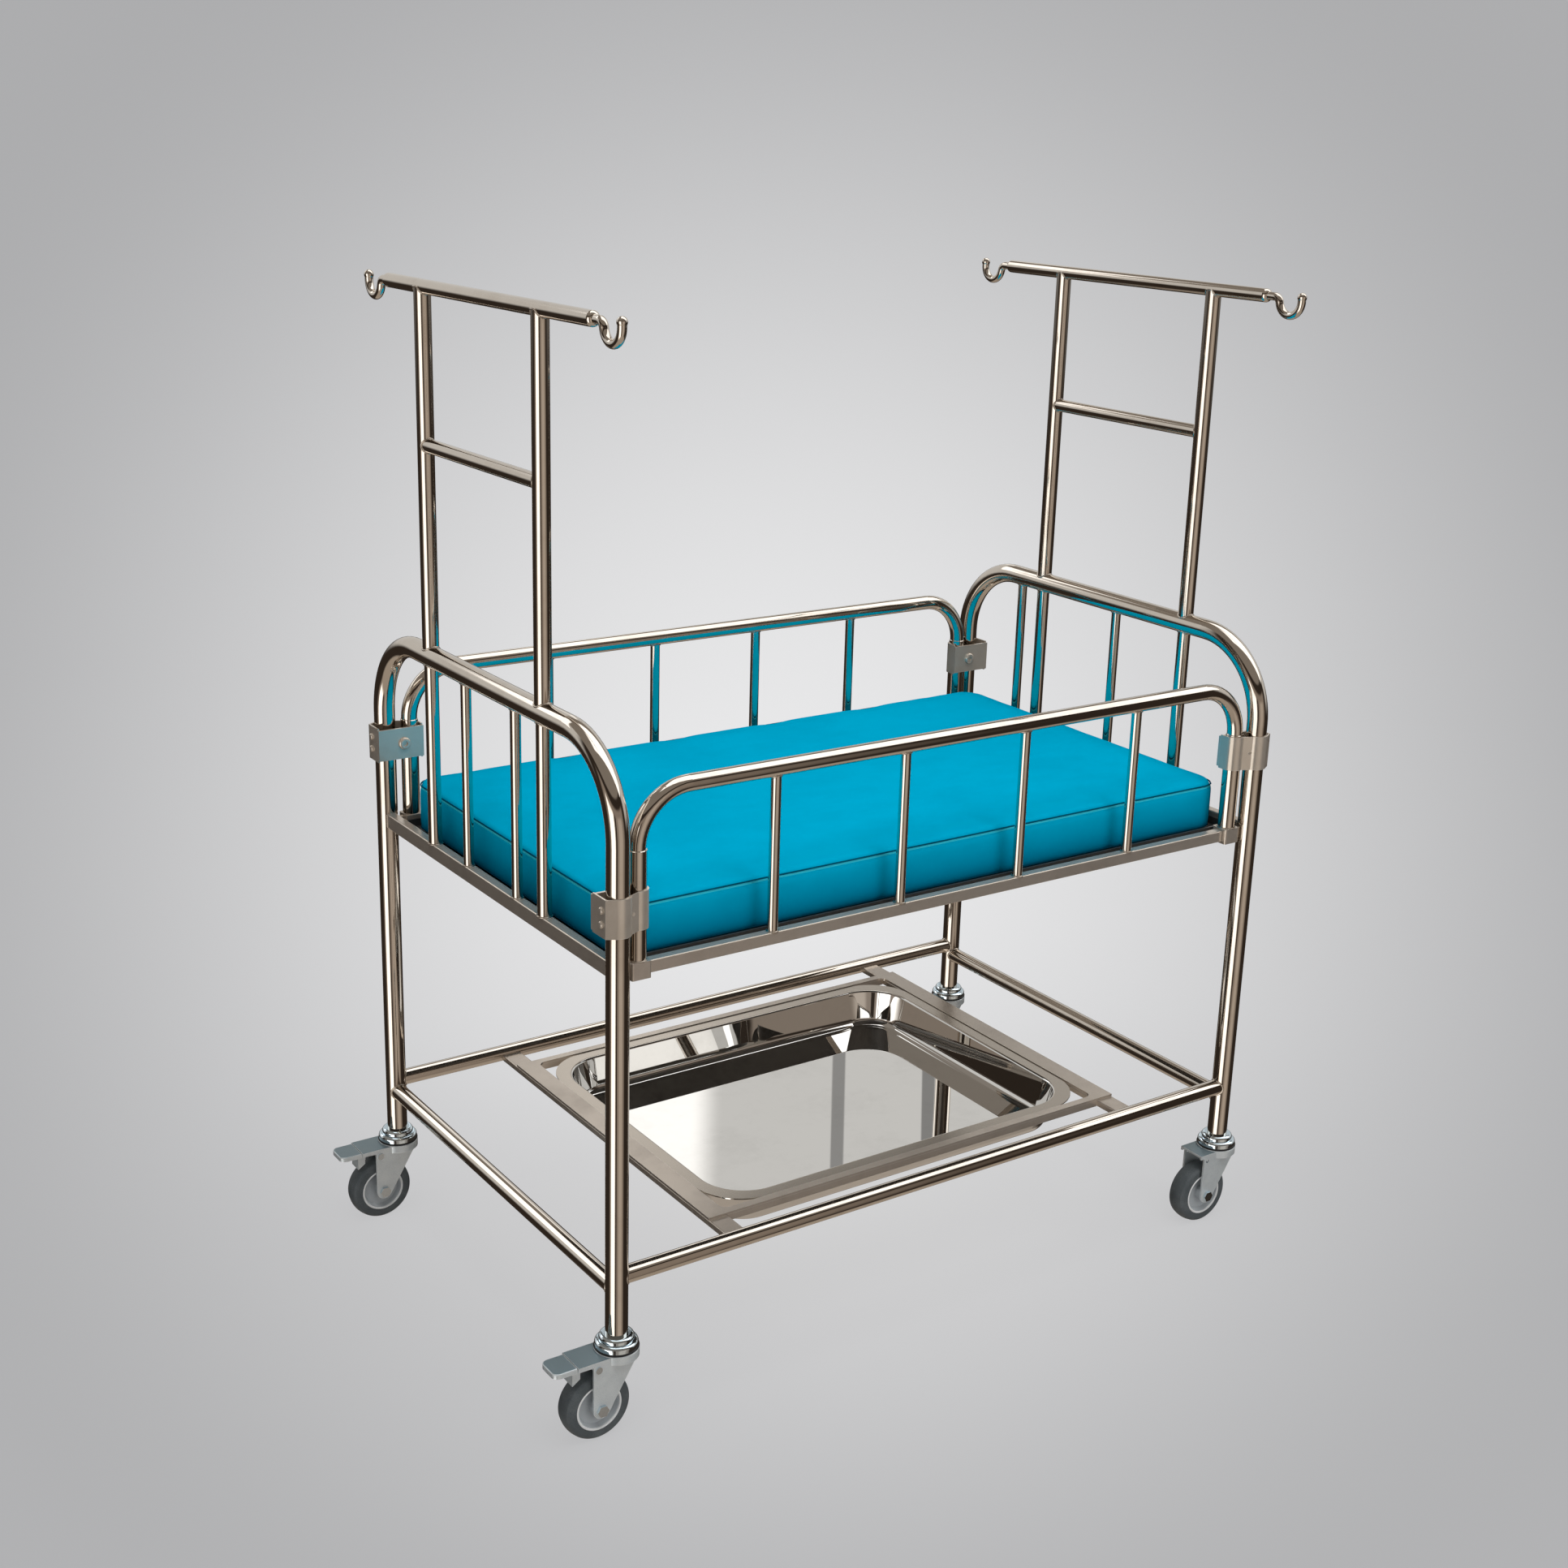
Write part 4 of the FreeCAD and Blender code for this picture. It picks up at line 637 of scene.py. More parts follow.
# Painted shade: the deck steel is coloured very dark for the shade in the gap between the mattress and
# the bars.
SHADED_DECK = Polished(
    "deck_steel_painted_shade", tint=(0.13, 0.125, 0.12), shade=(0.09, 0.087, 0.083), rough=0.30, haze=0.12,
    grain=(14.0, 700.0, 700.0), cut=0.05, metal=0.60,
)
CLAMP = Polished(
    "clamp_strip", tint=(0.70, 0.62, 0.53), shade=(0.62, 0.545, 0.46), rough=0.15, haze=0.05,
    grain=(120.0, 120.0, 500.0), cut=0.004, metal=0.50, edge=0.0006,
)
MIRROR = Polished(
    "tray_mirror", tint=(0.80, 0.79, 0.77), shade=(0.75, 0.74, 0.72), rough=0.004, haze=0.012,
    grain=(120.0, 18.0, 40.0), cut=0.0003, satin_from=0.1858,
)
BEAD = Polished(
    "weld_steel", tint=(0.58, 0.52, 0.45), shade=(0.36, 0.31, 0.27), rough=0.26, haze=0.16,
    grain=(500.0, 500.0, 500.0), cut=0.20,
)
ZINC = Zinc("zinc_plate")
CAP = Zinc(
    "zinc_cap", tint=(0.76, 0.86, 0.92), shade=(0.70, 0.79, 0.85), top=(0.60, 0.72, 0.80), rough=0.06,
    haze=0.04, metal=1.0, edge=0.0005,
)
TYRE = Rubber("grey_rubber")
# Painted shade: near-black rings fill the dark gap below each bearing cap.
GAP_SHADE = Rubber("race_seal", tint=(0.010, 0.011, 0.012), dust=(0.020, 0.021, 0.022))
HUB = Moulded("wheel_moulding")
# Painted highlight: near-white rings stand in for the highlight on the lip where the tyre meets the
# wheel centre.
RIM_HIGHLIGHT = Moulded("wheel_rim", tint=(0.95, 0.95, 0.94), shade=(0.86, 0.86, 0.85))
VINYL = Vinyl("vinyl_cover")
WELT = Vinyl(
    "welt_vinyl", tint=(0.0, 0.10, 0.18), shade=(0.0, 0.07, 0.13), foot=(0.0, 0.05, 0.09),
    highlight_band=(0.0, 0.10, 0.18), pillow=0.2,
)


# ---------------------------------------------------------------- mesh helpers

CORNER_POINTS = 14  # points on a quarter turn
CORNER_CUT = 0.29  # share of its radius by which a round corner is cut
TINY = 1e-9  # what is smaller counts as nothing

def mesh_piece(
    name: str, points: np.ndarray, faces: Iterable[Sequence[int]], finish: Finish
) -> bpy.types.Object:
    """Make a smooth object from points and faces.

    Args:
        name: the piece's name.
        points: (n, 3) positions in metres.
        faces: corner numbers of each face.
        finish: its surface finish.

    Returns:
        The object, linked to the scene.
    """
    mesh = bpy.data.meshes.new(name)
    mesh.from_pydata(np.asarray(points, float).tolist(), [], [list(face) for face in faces])
    mesh.polygons.foreach_set("use_smooth", np.full(len(mesh.polygons), True))
    mesh.materials.append(finish.material())
    mesh.validate()
    piece = bpy.data.objects.new(name, mesh)
    bpy.context.scene.collection.objects.link(piece)
    return piece


def read_points(mesh: bpy.types.Mesh) -> np.ndarray:
    """Positions of a mesh's points.

    Args:
        mesh: mesh to read.

    Returns:
        One row for each point.
    """
    flat = np.empty(len(mesh.vertices) * 3, np.float32)
    mesh.vertices.foreach_get("co", flat)
    return flat.reshape(-1, 3).astype(float)


def write_points(mesh: bpy.types.Mesh, points: np.ndarray) -> None:
    """Move a mesh's points to these positions."""
    mesh.vertices.foreach_set("co", points.astype(np.float32).ravel())
    mesh.update()


def bake_modifiers(piece: bpy.types.Object) -> None:
    """Put the shape that a piece's modifiers give into its mesh.

    Args:
        piece: object to bake, which keeps its name.
    """
    graph = bpy.context.evaluated_depsgraph_get()
    graph.update()
    baked = bpy.data.meshes.new_from_object(piece.evaluated_get(graph))
    piece.modifiers.clear()
    piece.data = baked
    baked.polygons.foreach_set("use_smooth", np.full(len(baked.polygons), True))


def ring_faces(rings: int, around: int, closed: bool) -> list[tuple[int, ...]]:
    """Quads between successive rings of points, facing away from the rings' middle.

    Args:
        rings: number of rings.
        around: points in each ring.
        closed: whether the last ring joins the first.

    Returns:
        Corner numbers of each quad.
    """
    bands = rings if closed else rings - 1
    ring, step = np.meshgrid(np.arange(bands), np.arange(around), indexing="ij")
    here, there = ring * around, (ring + 1) % rings * around
    then = (step + 1) % around
    quads = np.stack([here + then, there + then, there + step, here + step], axis=-1)
    return [tuple(quad) for quad in quads.reshape(-1, 4).tolist()]


def circle(radius: float, count: int) -> tuple[np.ndarray, np.ndarray]:
    """The two coordinates of evenly spaced points on a circle: r cos a and r sin a."""
    turn = np.linspace(0.0, 2.0 * math.pi, count, endpoint=False)
    return radius * np.cos(turn), radius * np.sin(turn)


def closed_tube(line: np.ndarray, radius: float, around: int = 10) -> tuple[np.ndarray, list]:
    """Round tube along a closed line.

    A ring at p has points p + r cos a n + r sin a b, where n and b are square to the
    line's direction, and n starts from the direction away from the middle.

    Args:
        line: (n, 3) points of the closed line.
        radius: radius r of the tube.
        around: points in each ring.

    Returns:
        Points and faces of the tube.
    """
    ahead = np.roll(line, -1, axis=0) - np.roll(line, 1, axis=0)
    ahead /= np.linalg.norm(ahead, axis=1, keepdims=True)
    outward = line - line.mean(axis=0)
    outward -= ahead * np.sum(outward * ahead, axis=1, keepdims=True)
    outward /= np.linalg.norm(outward, axis=1, keepdims=True)
    across = np.cross(ahead, outward)
    out, over = circle(radius, around)
    points = (
        line[:, None, :]
        + out[None, :, None] * outward[:, None, :]
        + over[None, :, None] * across[:, None, :]
    )
    return points.reshape(-1, 3), ring_faces(len(line), around, closed=True)


def open_tube(line: np.ndarray, radius: float, around: int = 8) -> tuple[np.ndarray, list]:
    """Round tube with closed ends along an open line that keeps about one direction.

    A ring at p has points p + r cos a n + r sin a b, where n and b are square to the
    way from the line's first point to its last.

    Args:
        line: (n, 3) points of the open line.
        radius: radius r of the tube.
        around: points in each ring.

    Returns:
        Points and faces of the tube.
    """
    ahead = line[-1] - line[0]
    ahead /= np.linalg.norm(ahead)
    side = np.cross(ahead, ALONG_X)
    side /= np.linalg.norm(side)
    across = np.cross(ahead, side)
    out, over = circle(radius, around)
    points = line[:, None, :] + out[:, None] * side + over[:, None] * across
    faces = ring_faces(len(line), around, closed=False)
    faces.append(tuple(range(around - 1, -1, -1)))
    faces.append(tuple(range((len(line) - 1) * around, len(line) * around)))
    return points.reshape(-1, 3), faces


def travelled(line: np.ndarray) -> np.ndarray:
    """Length along a line up to each of its points."""
    return np.concatenate([[0.0], np.cumsum(np.linalg.norm(np.diff(line, axis=0), axis=1))])


def even_points(line: np.ndarray, count: int) -> np.ndarray:
    """The same closed line with another number of points, evenly spaced.

    Args:
        line: (n, 2) points of the closed line.
        count: number of points wanted.

    Returns:
        (count, 2) points.
    """
    ring = np.vstack([line, line[:1]])
    length = travelled(ring)
    at = np.linspace(0.0, length[-1], count, endpoint=False)
    return np.stack([np.interp(at, length, ring[:, 0]), np.interp(at, length, ring[:, 1])], axis=1)


def rounded_outline(half_x: float, half_y: float, radius: float, step: float) -> np.ndarray:
    """Points along a rectangle with round corners, turning left.

    A corner's points are m + r (cos a, sin a), with m its middle and a over a quarter turn.

    Args:
        half_x: half of its size along X.
        half_y: half of its size along Y.
        radius: radius r of its corners.
        step: distance between points.

    Returns:
        (n, 2) points.
    """
    corners = []
    for number, (sign_x, sign_y) in enumerate(((1, -1), (1, 1), (-1, 1), (-1, -1))):
        start = math.radians(-90.0 + 90.0 * number)
        turn = np.linspace(start, start + math.pi / 2, CORNER_POINTS)
        middle = (sign_x * (half_x - radius), sign_y * (half_y - radius))
        arc = [middle[0] + radius * np.cos(turn), middle[1] + radius * np.sin(turn)]
        corners.append(np.stack(arc, axis=1))
    line = np.concatenate(corners)
    return even_points(line, int(travelled(np.vstack([line, line[:1]]))[-1] / step))


def hug(tree: BVHTree, line: np.ndarray, proud: float) -> np.ndarray:
    """Move points to the nearest place on a surface.

    Args:
        tree: the surface.
        line: (n, 3) points.
        proud: how far they stand off the surface.

    Returns:
        (n, 3) moved points.
    """
    moved = []
    for point in line:
        place, normal, _face, _gap = tree.find_nearest(Vector(point))
        moved.append(np.array(place + normal * proud))
    return np.array(moved)


@dataclass
class Bundle:
    """Several closed shapes gathered into one piece.

    Attributes:
        points: points of each shape.
        faces: faces of all of them, numbered over the whole.
        count: number of points so far.
    """

    points: list[np.ndarray] = field(default_factory=list)
    faces: list[tuple[int, ...]] = field(default_factory=list)
    count: int = 0

    def add(self, points: np.ndarray, faces: Iterable[Sequence[int]]) -> None:
        """Add one shape.

        Args:
            points: (n, 3) positions.
            faces: corner numbers of each of its faces.
        """
        self.faces.extend(tuple(corner + self.count for corner in face) for face in faces)
        self.points.append(points)
        self.count += len(points)

    def piece(self, name: str, finish: Finish) -> bpy.types.Object:
        """The gathered shapes as one object."""
        return mesh_piece(name, np.concatenate(self.points), self.faces, finish)


# ---------------------------------------------------------------- sizes of the cot


@dataclass(frozen=True)
class Cot:
    """Sizes of the CAD model that the soft pieces, welds and rings follow, in metres.

    Attributes:
        shift: middle of the cot along X.
        post: post axes off the middle, along X and Y.
        post_radius: radius of the posts and end rails.
        rail: height of the end rails' axes.
        deck_bar: top of the flat bars at deck height.
        stand: heights of the stands' middle and top bars.
        stand_radius: radius of the uprights and of the cross bars.
        upright: half of the distance between a stand's uprights, and how far their middle lies
            off the cot's, to the rear at the left end and to the front at the right one.
        thin_left: places of the left end's thin spindles along Y.
        thin_right: places of the right end's thin spindles along Y.
        guard: place of the guards' plane along Y, and height of their rails.
        guard_radius: radius of the guards' rails.
        guard_bar: top of the guards' flat bars.
        spindle: radius of the guards' and the thin spindles.
        spindle_count: number of spindles in a guard.
        front_pitch: distance between the front guard's spindles.
        rear_pitch: distance between the rear guard's spindles.
        sleeve: place along X, foot and radius of the guards' leg sleeves.
        stretchers: heights of the long and short stretchers, and their radius.
        axle: place of an axle from its post along X, and its height.
        rim: radius and half width of the wheel's rim.
    """

    shift: float = 0.0295
    post: tuple[float, float] = (0.450, 0.281)
    post_radius: float = 0.0125
    rail: float = 0.768
    deck_bar: float = 0.543
    stand: tuple[float, float] = (1.008, 1.179)
    stand_radius: tuple[float, float] = (0.0095, 0.008)
    upright: tuple[float, float] = (0.135, 0.010)
    thin_left: tuple[float, float] = (-0.062, 0.057)
    thin_right: tuple[float, float] = (-0.020, 0.168)
    guard: tuple[float, float] = (0.2715, 0.719)
    guard_radius: float = 0.0095
    guard_bar: float = 0.537
    spindle: float = 0.006
    spindle_count: int = 4
    front_pitch: float = 0.170
    rear_pitch: float = 0.155
    sleeve: tuple[float, float, float] = (0.4225, 0.5395, 0.0105)
    stretchers: tuple[float, float, float] = (0.1835, 0.1695, 0.010)
    axle: tuple[float, float] = (-0.028, 0.040)
    rim: tuple[float, float] = (0.0262, 0.0118)

    def corner(self, end: Ends, side: Sides) -> np.ndarray:
        """Place of one post's axis on the floor."""
        return np.array([self.shift + self.post[0] * end.sign, self.post[1] * side.sign, 0.0])

    def uprights(self, end: Ends) -> tuple[float, float]:
        """Places of one stand's uprights along Y."""
        half, shift = self.upright
        return (-half - shift * end.sign, half - shift * end.sign)

    def spindles(self, end: Ends) -> tuple[float, float]:
        """Places of one end's two thin spindles along Y."""
        return self.thin_left if end is Ends.LEFT else self.thin_right

    def guard_spindles(self, side: Sides) -> list[float]:
        """Places of one guard's spindles along X.

        Args:
            side: side of the guard.

        Returns:
            The places, from left to right.
        """
        pitch = self.front_pitch if side is Sides.FRONT else self.rear_pitch
        middle = (self.spindle_count - 1) / 2
        return [self.shift + pitch * (number - middle) for number in range(self.spindle_count)]


COT = Cot()


# ---------------------------------------------------------------- mattress


@dataclass(frozen=True)
class Mattress:
    """Foam mattress in a welted vinyl cover.

    Attributes:
        corner: radius of its corners seen from above.
        shrink: how much smaller the cover starts before it is blown up.
        edge: radius of its edges before it is blown up.
        edge_power: power that shapes those edges.
        rings: rings of points from its bottom to its top.
        step: distance between the points of its outline.
        voxel: remesh size.
        frames: frames of the cloth simulation.
        stiffness: how hard the cloth resists stretch and squeeze.
        pressure: force of the air in the cover.
        swell: furthest that a point may move.
        bulge: how far the sides may stand past the CAD solid.
        lift: least height of the cover above the deck.
        welt: radius of the upper piping.
        welt_drop: height of the upper piping below the top.
        welt_foot: height of the lower piping above the bottom.
        welt_proud: how far the piping's middle stands off the cover, as a share of its radius.
        welt_lower: radius of the lower piping, as a share of the upper one's.
        seam: radius of the corner seams, as a share of the upper piping's.
        dent: depth of the dents in the top beside the guard spindles.
        dent_offset: place of a dent along X from its spindle.
        dent_width: width of a dent along X, and its length along Y.
    """

    corner: float = 0.026
    shrink: float = 0.0025
    edge: float = 0.005
    edge_power: float = 0.8
    rings: int = 13
    step: float = 0.006
    voxel: float = 0.0072
    frames: int = 20
    stiffness: float = 18.0
    pressure: float = 4.0
    swell: float = 0.0045
    bulge: float = 0.0012
    lift: float = 0.0002
    welt: float = 0.0009
    welt_drop: float = 0.0065
    welt_foot: float = 0.006
    welt_proud: float = 0.25
    welt_lower: float = 0.8
    seam: float = 0.45
    dent: float = 0.0022
    dent_offset: float = 0.010
    dent_width: tuple[float, float] = (0.020, 0.045)

    def build(self) -> list[bpy.types.Object]:
        """Make the cover and its seams, and put them in place of the CAD solid.

        Returns:
            The cover and the seams.
        """
        low, high = (np.array(corner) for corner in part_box("mattress"))
        cover = self._slab(low, high)
        self._inflate(cover, low, high)
        self._press_dents(cover, low, high)
        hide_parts("mattress")
        pieces = [cover, self._seams(cover, low, high)]
        for piece in pieces:
            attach(piece, "mattress")
        return pieces

    def _slab(self, low: np.ndarray, high: np.ndarray) -> bpy.types.Object:
        """Rounded slab, a little smaller than the finished mattress.

        Its rings run from the bottom to the top with an angle a from -90 to 90 degrees: a
        ring lies between the inner and the outer outline by (cos a)^k, and stands at
        sign(a) (h - e) + e sin a, with k the edge's power, h half of the height and e the
        edge's radius.

        Args:
            low: lowest corner of the CAD solid.
            high: highest corner of the CAD solid.

        Returns:
            The slab, remeshed evenly.
        """
        middle = (low + high) / 2
        half = (high - low) / 2 - self.shrink
        outer = rounded_outline(half[0], half[1], self.corner, self.step)
        share = len(outer)
        outer = even_points(outer, share)
        inner = rounded_outline(
            half[0] - self.edge, half[1] - self.edge, self.corner - self.edge, self.step
        )
        inner = even_points(inner, share)
        turn = np.linspace(-math.pi / 2, math.pi / 2, self.rings)
        sine = np.where(np.abs(np.sin(turn)) < TINY, 0.0, np.sin(turn))
        cosine = np.where(np.cos(turn) < TINY, 0.0, np.cos(turn))
        rise = np.sign(sine) * (half[2] - self.edge) + self.edge * sine
        flat = inner + (outer - inner) * cosine[:, None, None] ** self.edge_power + middle[:2]
        height = np.broadcast_to((middle[2] + rise)[:, None, None], (len(turn), share, 1))
        points = np.concatenate([flat, height], axis=2).reshape(-1, 3)
        faces = ring_faces(len(turn), share, closed=False)
        faces.append(tuple(range(share - 1, -1, -1)))
        faces.append(tuple(range((len(turn) - 1) * share, len(turn) * share)))
        cover = mesh_piece("mattress_cover", points, faces, VINYL)
        remesh = cover.modifiers.new("remesh", "REMESH")
        remesh.mode = "VOXEL"
        remesh.voxel_size = self.voxel
        remesh.use_smooth_shade = True
        bake_modifiers(cover)
        return cover

    def _inflate(self, cover: bpy.types.Object, low: np.ndarray, high: np.ndarray) -> None:
        """Blow the cover up with cloth pressure, hold it to its box and smooth it.

        Args:
            cover: the slab.
            low: lowest corner of the CAD solid.
            high: highest corner of the CAD solid.
        """
        start = read_points(cover.data)
        held = start + self._limited(self._blown(cover) - start)
        held[:, 2] = np.maximum(held[:, 2], low[2] + self.lift)
        held[:, :2] = np.clip(held[:, :2], low[:2] - self.bulge, high[:2] + self.bulge)
        write_points(cover.data, held)
        smooth = cover.modifiers.new("smooth", "SUBSURF")
        smooth.levels = 1
        smooth.render_levels = 1
        bake_modifiers(cover)

    def _blown(self, cover: bpy.types.Object) -> np.ndarray:
        """Positions of the cover's points after the cloth simulation.

        Args:
            cover: the slab, which is left as it is.

        Returns:
            (n, 3) positions.
        """
        scene = bpy.context.scene
        cloth = cover.modifiers.new("cloth", "CLOTH")
        cloth.settings.quality = 5
        cloth.settings.mass = 0.3
        cloth.settings.tension_stiffness = self.stiffness
        cloth.settings.compression_stiffness = self.stiffness
        cloth.settings.bending_stiffness = 0.6
        cloth.settings.use_pressure = True
        cloth.settings.uniform_pressure_force = self.pressure
        cloth.settings.effector_weights.gravity = 0.0
        cloth.point_cache.frame_start = 1
        cloth.point_cache.frame_end = self.frames
        for frame_number in range(1, self.frames + 1):
            scene.frame_set(frame_number)
        graph = bpy.context.evaluated_depsgraph_get()
        blown = read_points(cover.evaluated_get(graph).data)
        cover.modifiers.remove(cloth)
        scene.frame_set(1)
        return blown

    def _limited(self, travel: np.ndarray) -> np.ndarray:
        """Each point's way, cut to the furthest that it may move."""
        length = np.linalg.norm(travel, axis=1, keepdims=True)
        return travel * np.minimum(1.0, self.swell / np.maximum(length, TINY))

    def _press_dents(self, cover: bpy.types.Object, low: np.ndarray, high: np.ndarray) -> None:
        """Press a shallow dent into the top beside each guard spindle.

        The drop at a distance q, in widths, from the middle of a dent is dent * exp(-q q).

        Args:
            cover: the cover.
            low: lowest corner of the CAD solid.
            high: highest corner of the CAD solid.
        """
        points = read_points(cover.data)
        upper = (points[:, 2] > (low[2] + high[2]) / 2).astype(float)
        width, length = self.dent_width
        for side, border in ((Sides.FRONT, low[1]), (Sides.REAR, high[1])):
            for place in COT.guard_spindles(side):
                along = (points[:, 0] - place - self.dent_offset) / width
                across = (points[:, 1] - border) / length
                points[:, 2] -= self.dent * np.exp(-(along**2 + across**2)) * upper
        write_points(cover.data, points)

    def _seams(self, cover: bpy.types.Object, low: np.ndarray, high: np.ndarray) -> bpy.types.Object:
        """Piping round the top and bottom edges, and an upright seam at each corner.

        Args:
            cover: the cover that they lie on.
            low: lowest corner of the CAD solid.
            high: highest corner of the CAD solid.

        Returns:
            The seams as one piece.
        """
        tree = BVHTree.FromPolygons(
            [tuple(vertex.co) for vertex in cover.data.vertices],
            [tuple(face.vertices) for face in cover.data.polygons],
        )
        middle = (low + high) / 2
        half = (high - low) / 2
        foot, top = low[2] + self.welt_foot, high[2] - self.welt_drop
        bundle = Bundle()
        for rise, radius in ((top, self.welt), (foot, self.welt * self.welt_lower)):
            flat = rounded_outline(half[0], half[1], self.corner, self.step) + middle[:2]
            level = np.column_stack([flat, np.full(len(flat), rise)])
            line = hug(tree, level, radius * self.welt_proud)
            line[:, 2] = rise
            bundle.add(*closed_tube(line, radius))
        corner = half[:2] - self.corner * CORNER_CUT
        rises = np.linspace(foot, top, CORNER_POINTS)
        for end in Ends:
            for side in Sides:
                place = middle[:2] + corner * (end.sign, side.sign)
                line = np.column_stack([np.tile(place, (len(rises), 1)), rises])
                bundle.add(*open_tube(hug(tree, line, 0.0), self.welt * self.seam))
        return bundle.piece("mattress_seams", WELT)


# ---------------------------------------------------------------- weld beads


@dataclass(frozen=True)
class Welds:
    """Small fillet welds where a bar meets a tube or a flat.

    Attributes:
        bead: radius of the bead.
        proud: how far the bead's middle stands off the bar, as a share of that radius.
        points: points along a bead.
        around: points round a bead's section.
    """

    bead: float = 0.0011
    proud: float = 0.15
    points: int = 48
    around: int = 8

    def build(self) -> list[bpy.types.Object]:
        """Gather every bead into one piece on the frame.

        Returns:
            The piece.
        """
        bundle = Bundle()
        for end in Ends:
            x = COT.shift + COT.post[0] * end.sign
            self._end_bars(bundle, x, end)
            self._stand(bundle, x, end)
            self._stretchers(bundle, x, end)
        for side in Sides:
            self._guard(bundle, side)
        beads = bundle.piece("weld_beads", BEAD)
        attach(beads, "frame")
        return [beads]

    def _end_bars(self, bundle: Bundle, x: float, end: Ends) -> None:
        """Beads at both ends of one end frame's upright bars.

        Args:
            bundle: where the beads go.
            x: place of the end along X.
            end: which end.
        """
        bars = [(y, COT.spindle) for y in COT.spindles(end)]
        bars += [(y, COT.stand_radius[1]) for y in COT.uprights(end)]
        for y, radius in bars:
            bundle.add(*self._ring((x, y, COT.deck_bar), UP, None, radius, 0.0))
            bundle.add(*self._ring((x, y, COT.rail), DOWN, ALONG_Y, radius, COT.post_radius))

    def _stand(self, bundle: Bundle, x: float, end: Ends) -> None:
        """Beads of one infusion stand.

        Args:
            bundle: where the beads go.
            x: place of the end along X.
            end: which end.
        """
        post, bar = COT.stand_radius
        middle, top = COT.stand
        for y, inward in zip(COT.uprights(end), (ALONG_Y, (0.0, -1.0, 0.0))):
            bundle.add(*self._ring((x, y, COT.rail), UP, ALONG_Y, post, COT.post_radius))
            bundle.add(*self._ring((x, y, top), DOWN, ALONG_Y, post, bar))
            bundle.add(*self._ring((x, y, middle), inward, UP, bar, post))

    def _stretchers(self, bundle: Bundle, x: float, end: Ends) -> None:
        """Beads where one end's two posts carry the stretchers.

        Args:
            bundle: where the beads go.
            x: place of the end along X.
            end: which end.
        """
        long, short, radius = COT.stretchers
        for side in Sides:
            y = COT.post[1] * side.sign
            for height, along in ((long, (-end.sign, 0.0, 0.0)), (short, (0.0, -side.sign, 0.0))):
                bundle.add(*self._ring((x, y, height), along, UP, radius, COT.post_radius))

    def _guard(self, bundle: Bundle, side: Sides) -> None:
        """Beads of one guard's spindles and leg sleeves.

        Args:
            bundle: where the beads go.
            side: which side.
        """
        y = COT.guard[0] * side.sign
        for x in COT.guard_spindles(side):
            bundle.add(*self._ring((x, y, COT.guard_bar), UP, None, COT.spindle, 0.0))
            rail = (x, y, COT.guard[1])
            bundle.add(*self._ring(rail, DOWN, ALONG_X, COT.spindle, COT.guard_radius))
        reach, foot, radius = COT.sleeve
        for end in Ends:
            bundle.add(*self._ring((COT.shift + reach * end.sign, y, foot), UP, None, radius, 0.0))

    def _ring(
        self, centre: Point, along: Point, rail: Point | None, radius: float, rail_radius: float
    ) -> tuple[np.ndarray, list]:
        """Bead round a bar's end.

        A point at angle a is c + r cos a u + r sin a v + s w, with s = sqrt(R^2 - (r cos a)^2),
        u square to the rail, v along the rail and w the way the bar leaves it; on a flat s is 0.

        Args:
            centre: point c on the rail's axis, or on the flat.
            along: unit direction w in which the bar leaves.
            rail: unit direction v of the rail, or None for a flat.
            radius: radius of the bar.
            rail_radius: radius R of the rail.

        Returns:
            Points and faces of the bead.
        """
        leave = np.array(along)
        second = np.array(rail or ALONG_X)
        first = np.cross(second, leave)
        square, level = circle(radius + self.bead * self.proud, self.points)
        drop = np.zeros_like(square)
        if rail is not None:
            drop = np.sqrt(np.maximum(rail_radius**2 - square**2, 0.0))
        flat = square[:, None] * first + level[:, None] * second
        line = np.array(centre) + flat + drop[:, None] * leave
        return closed_tube(line, self.bead, self.around)


# ---------------------------------------------------------------- caster rings


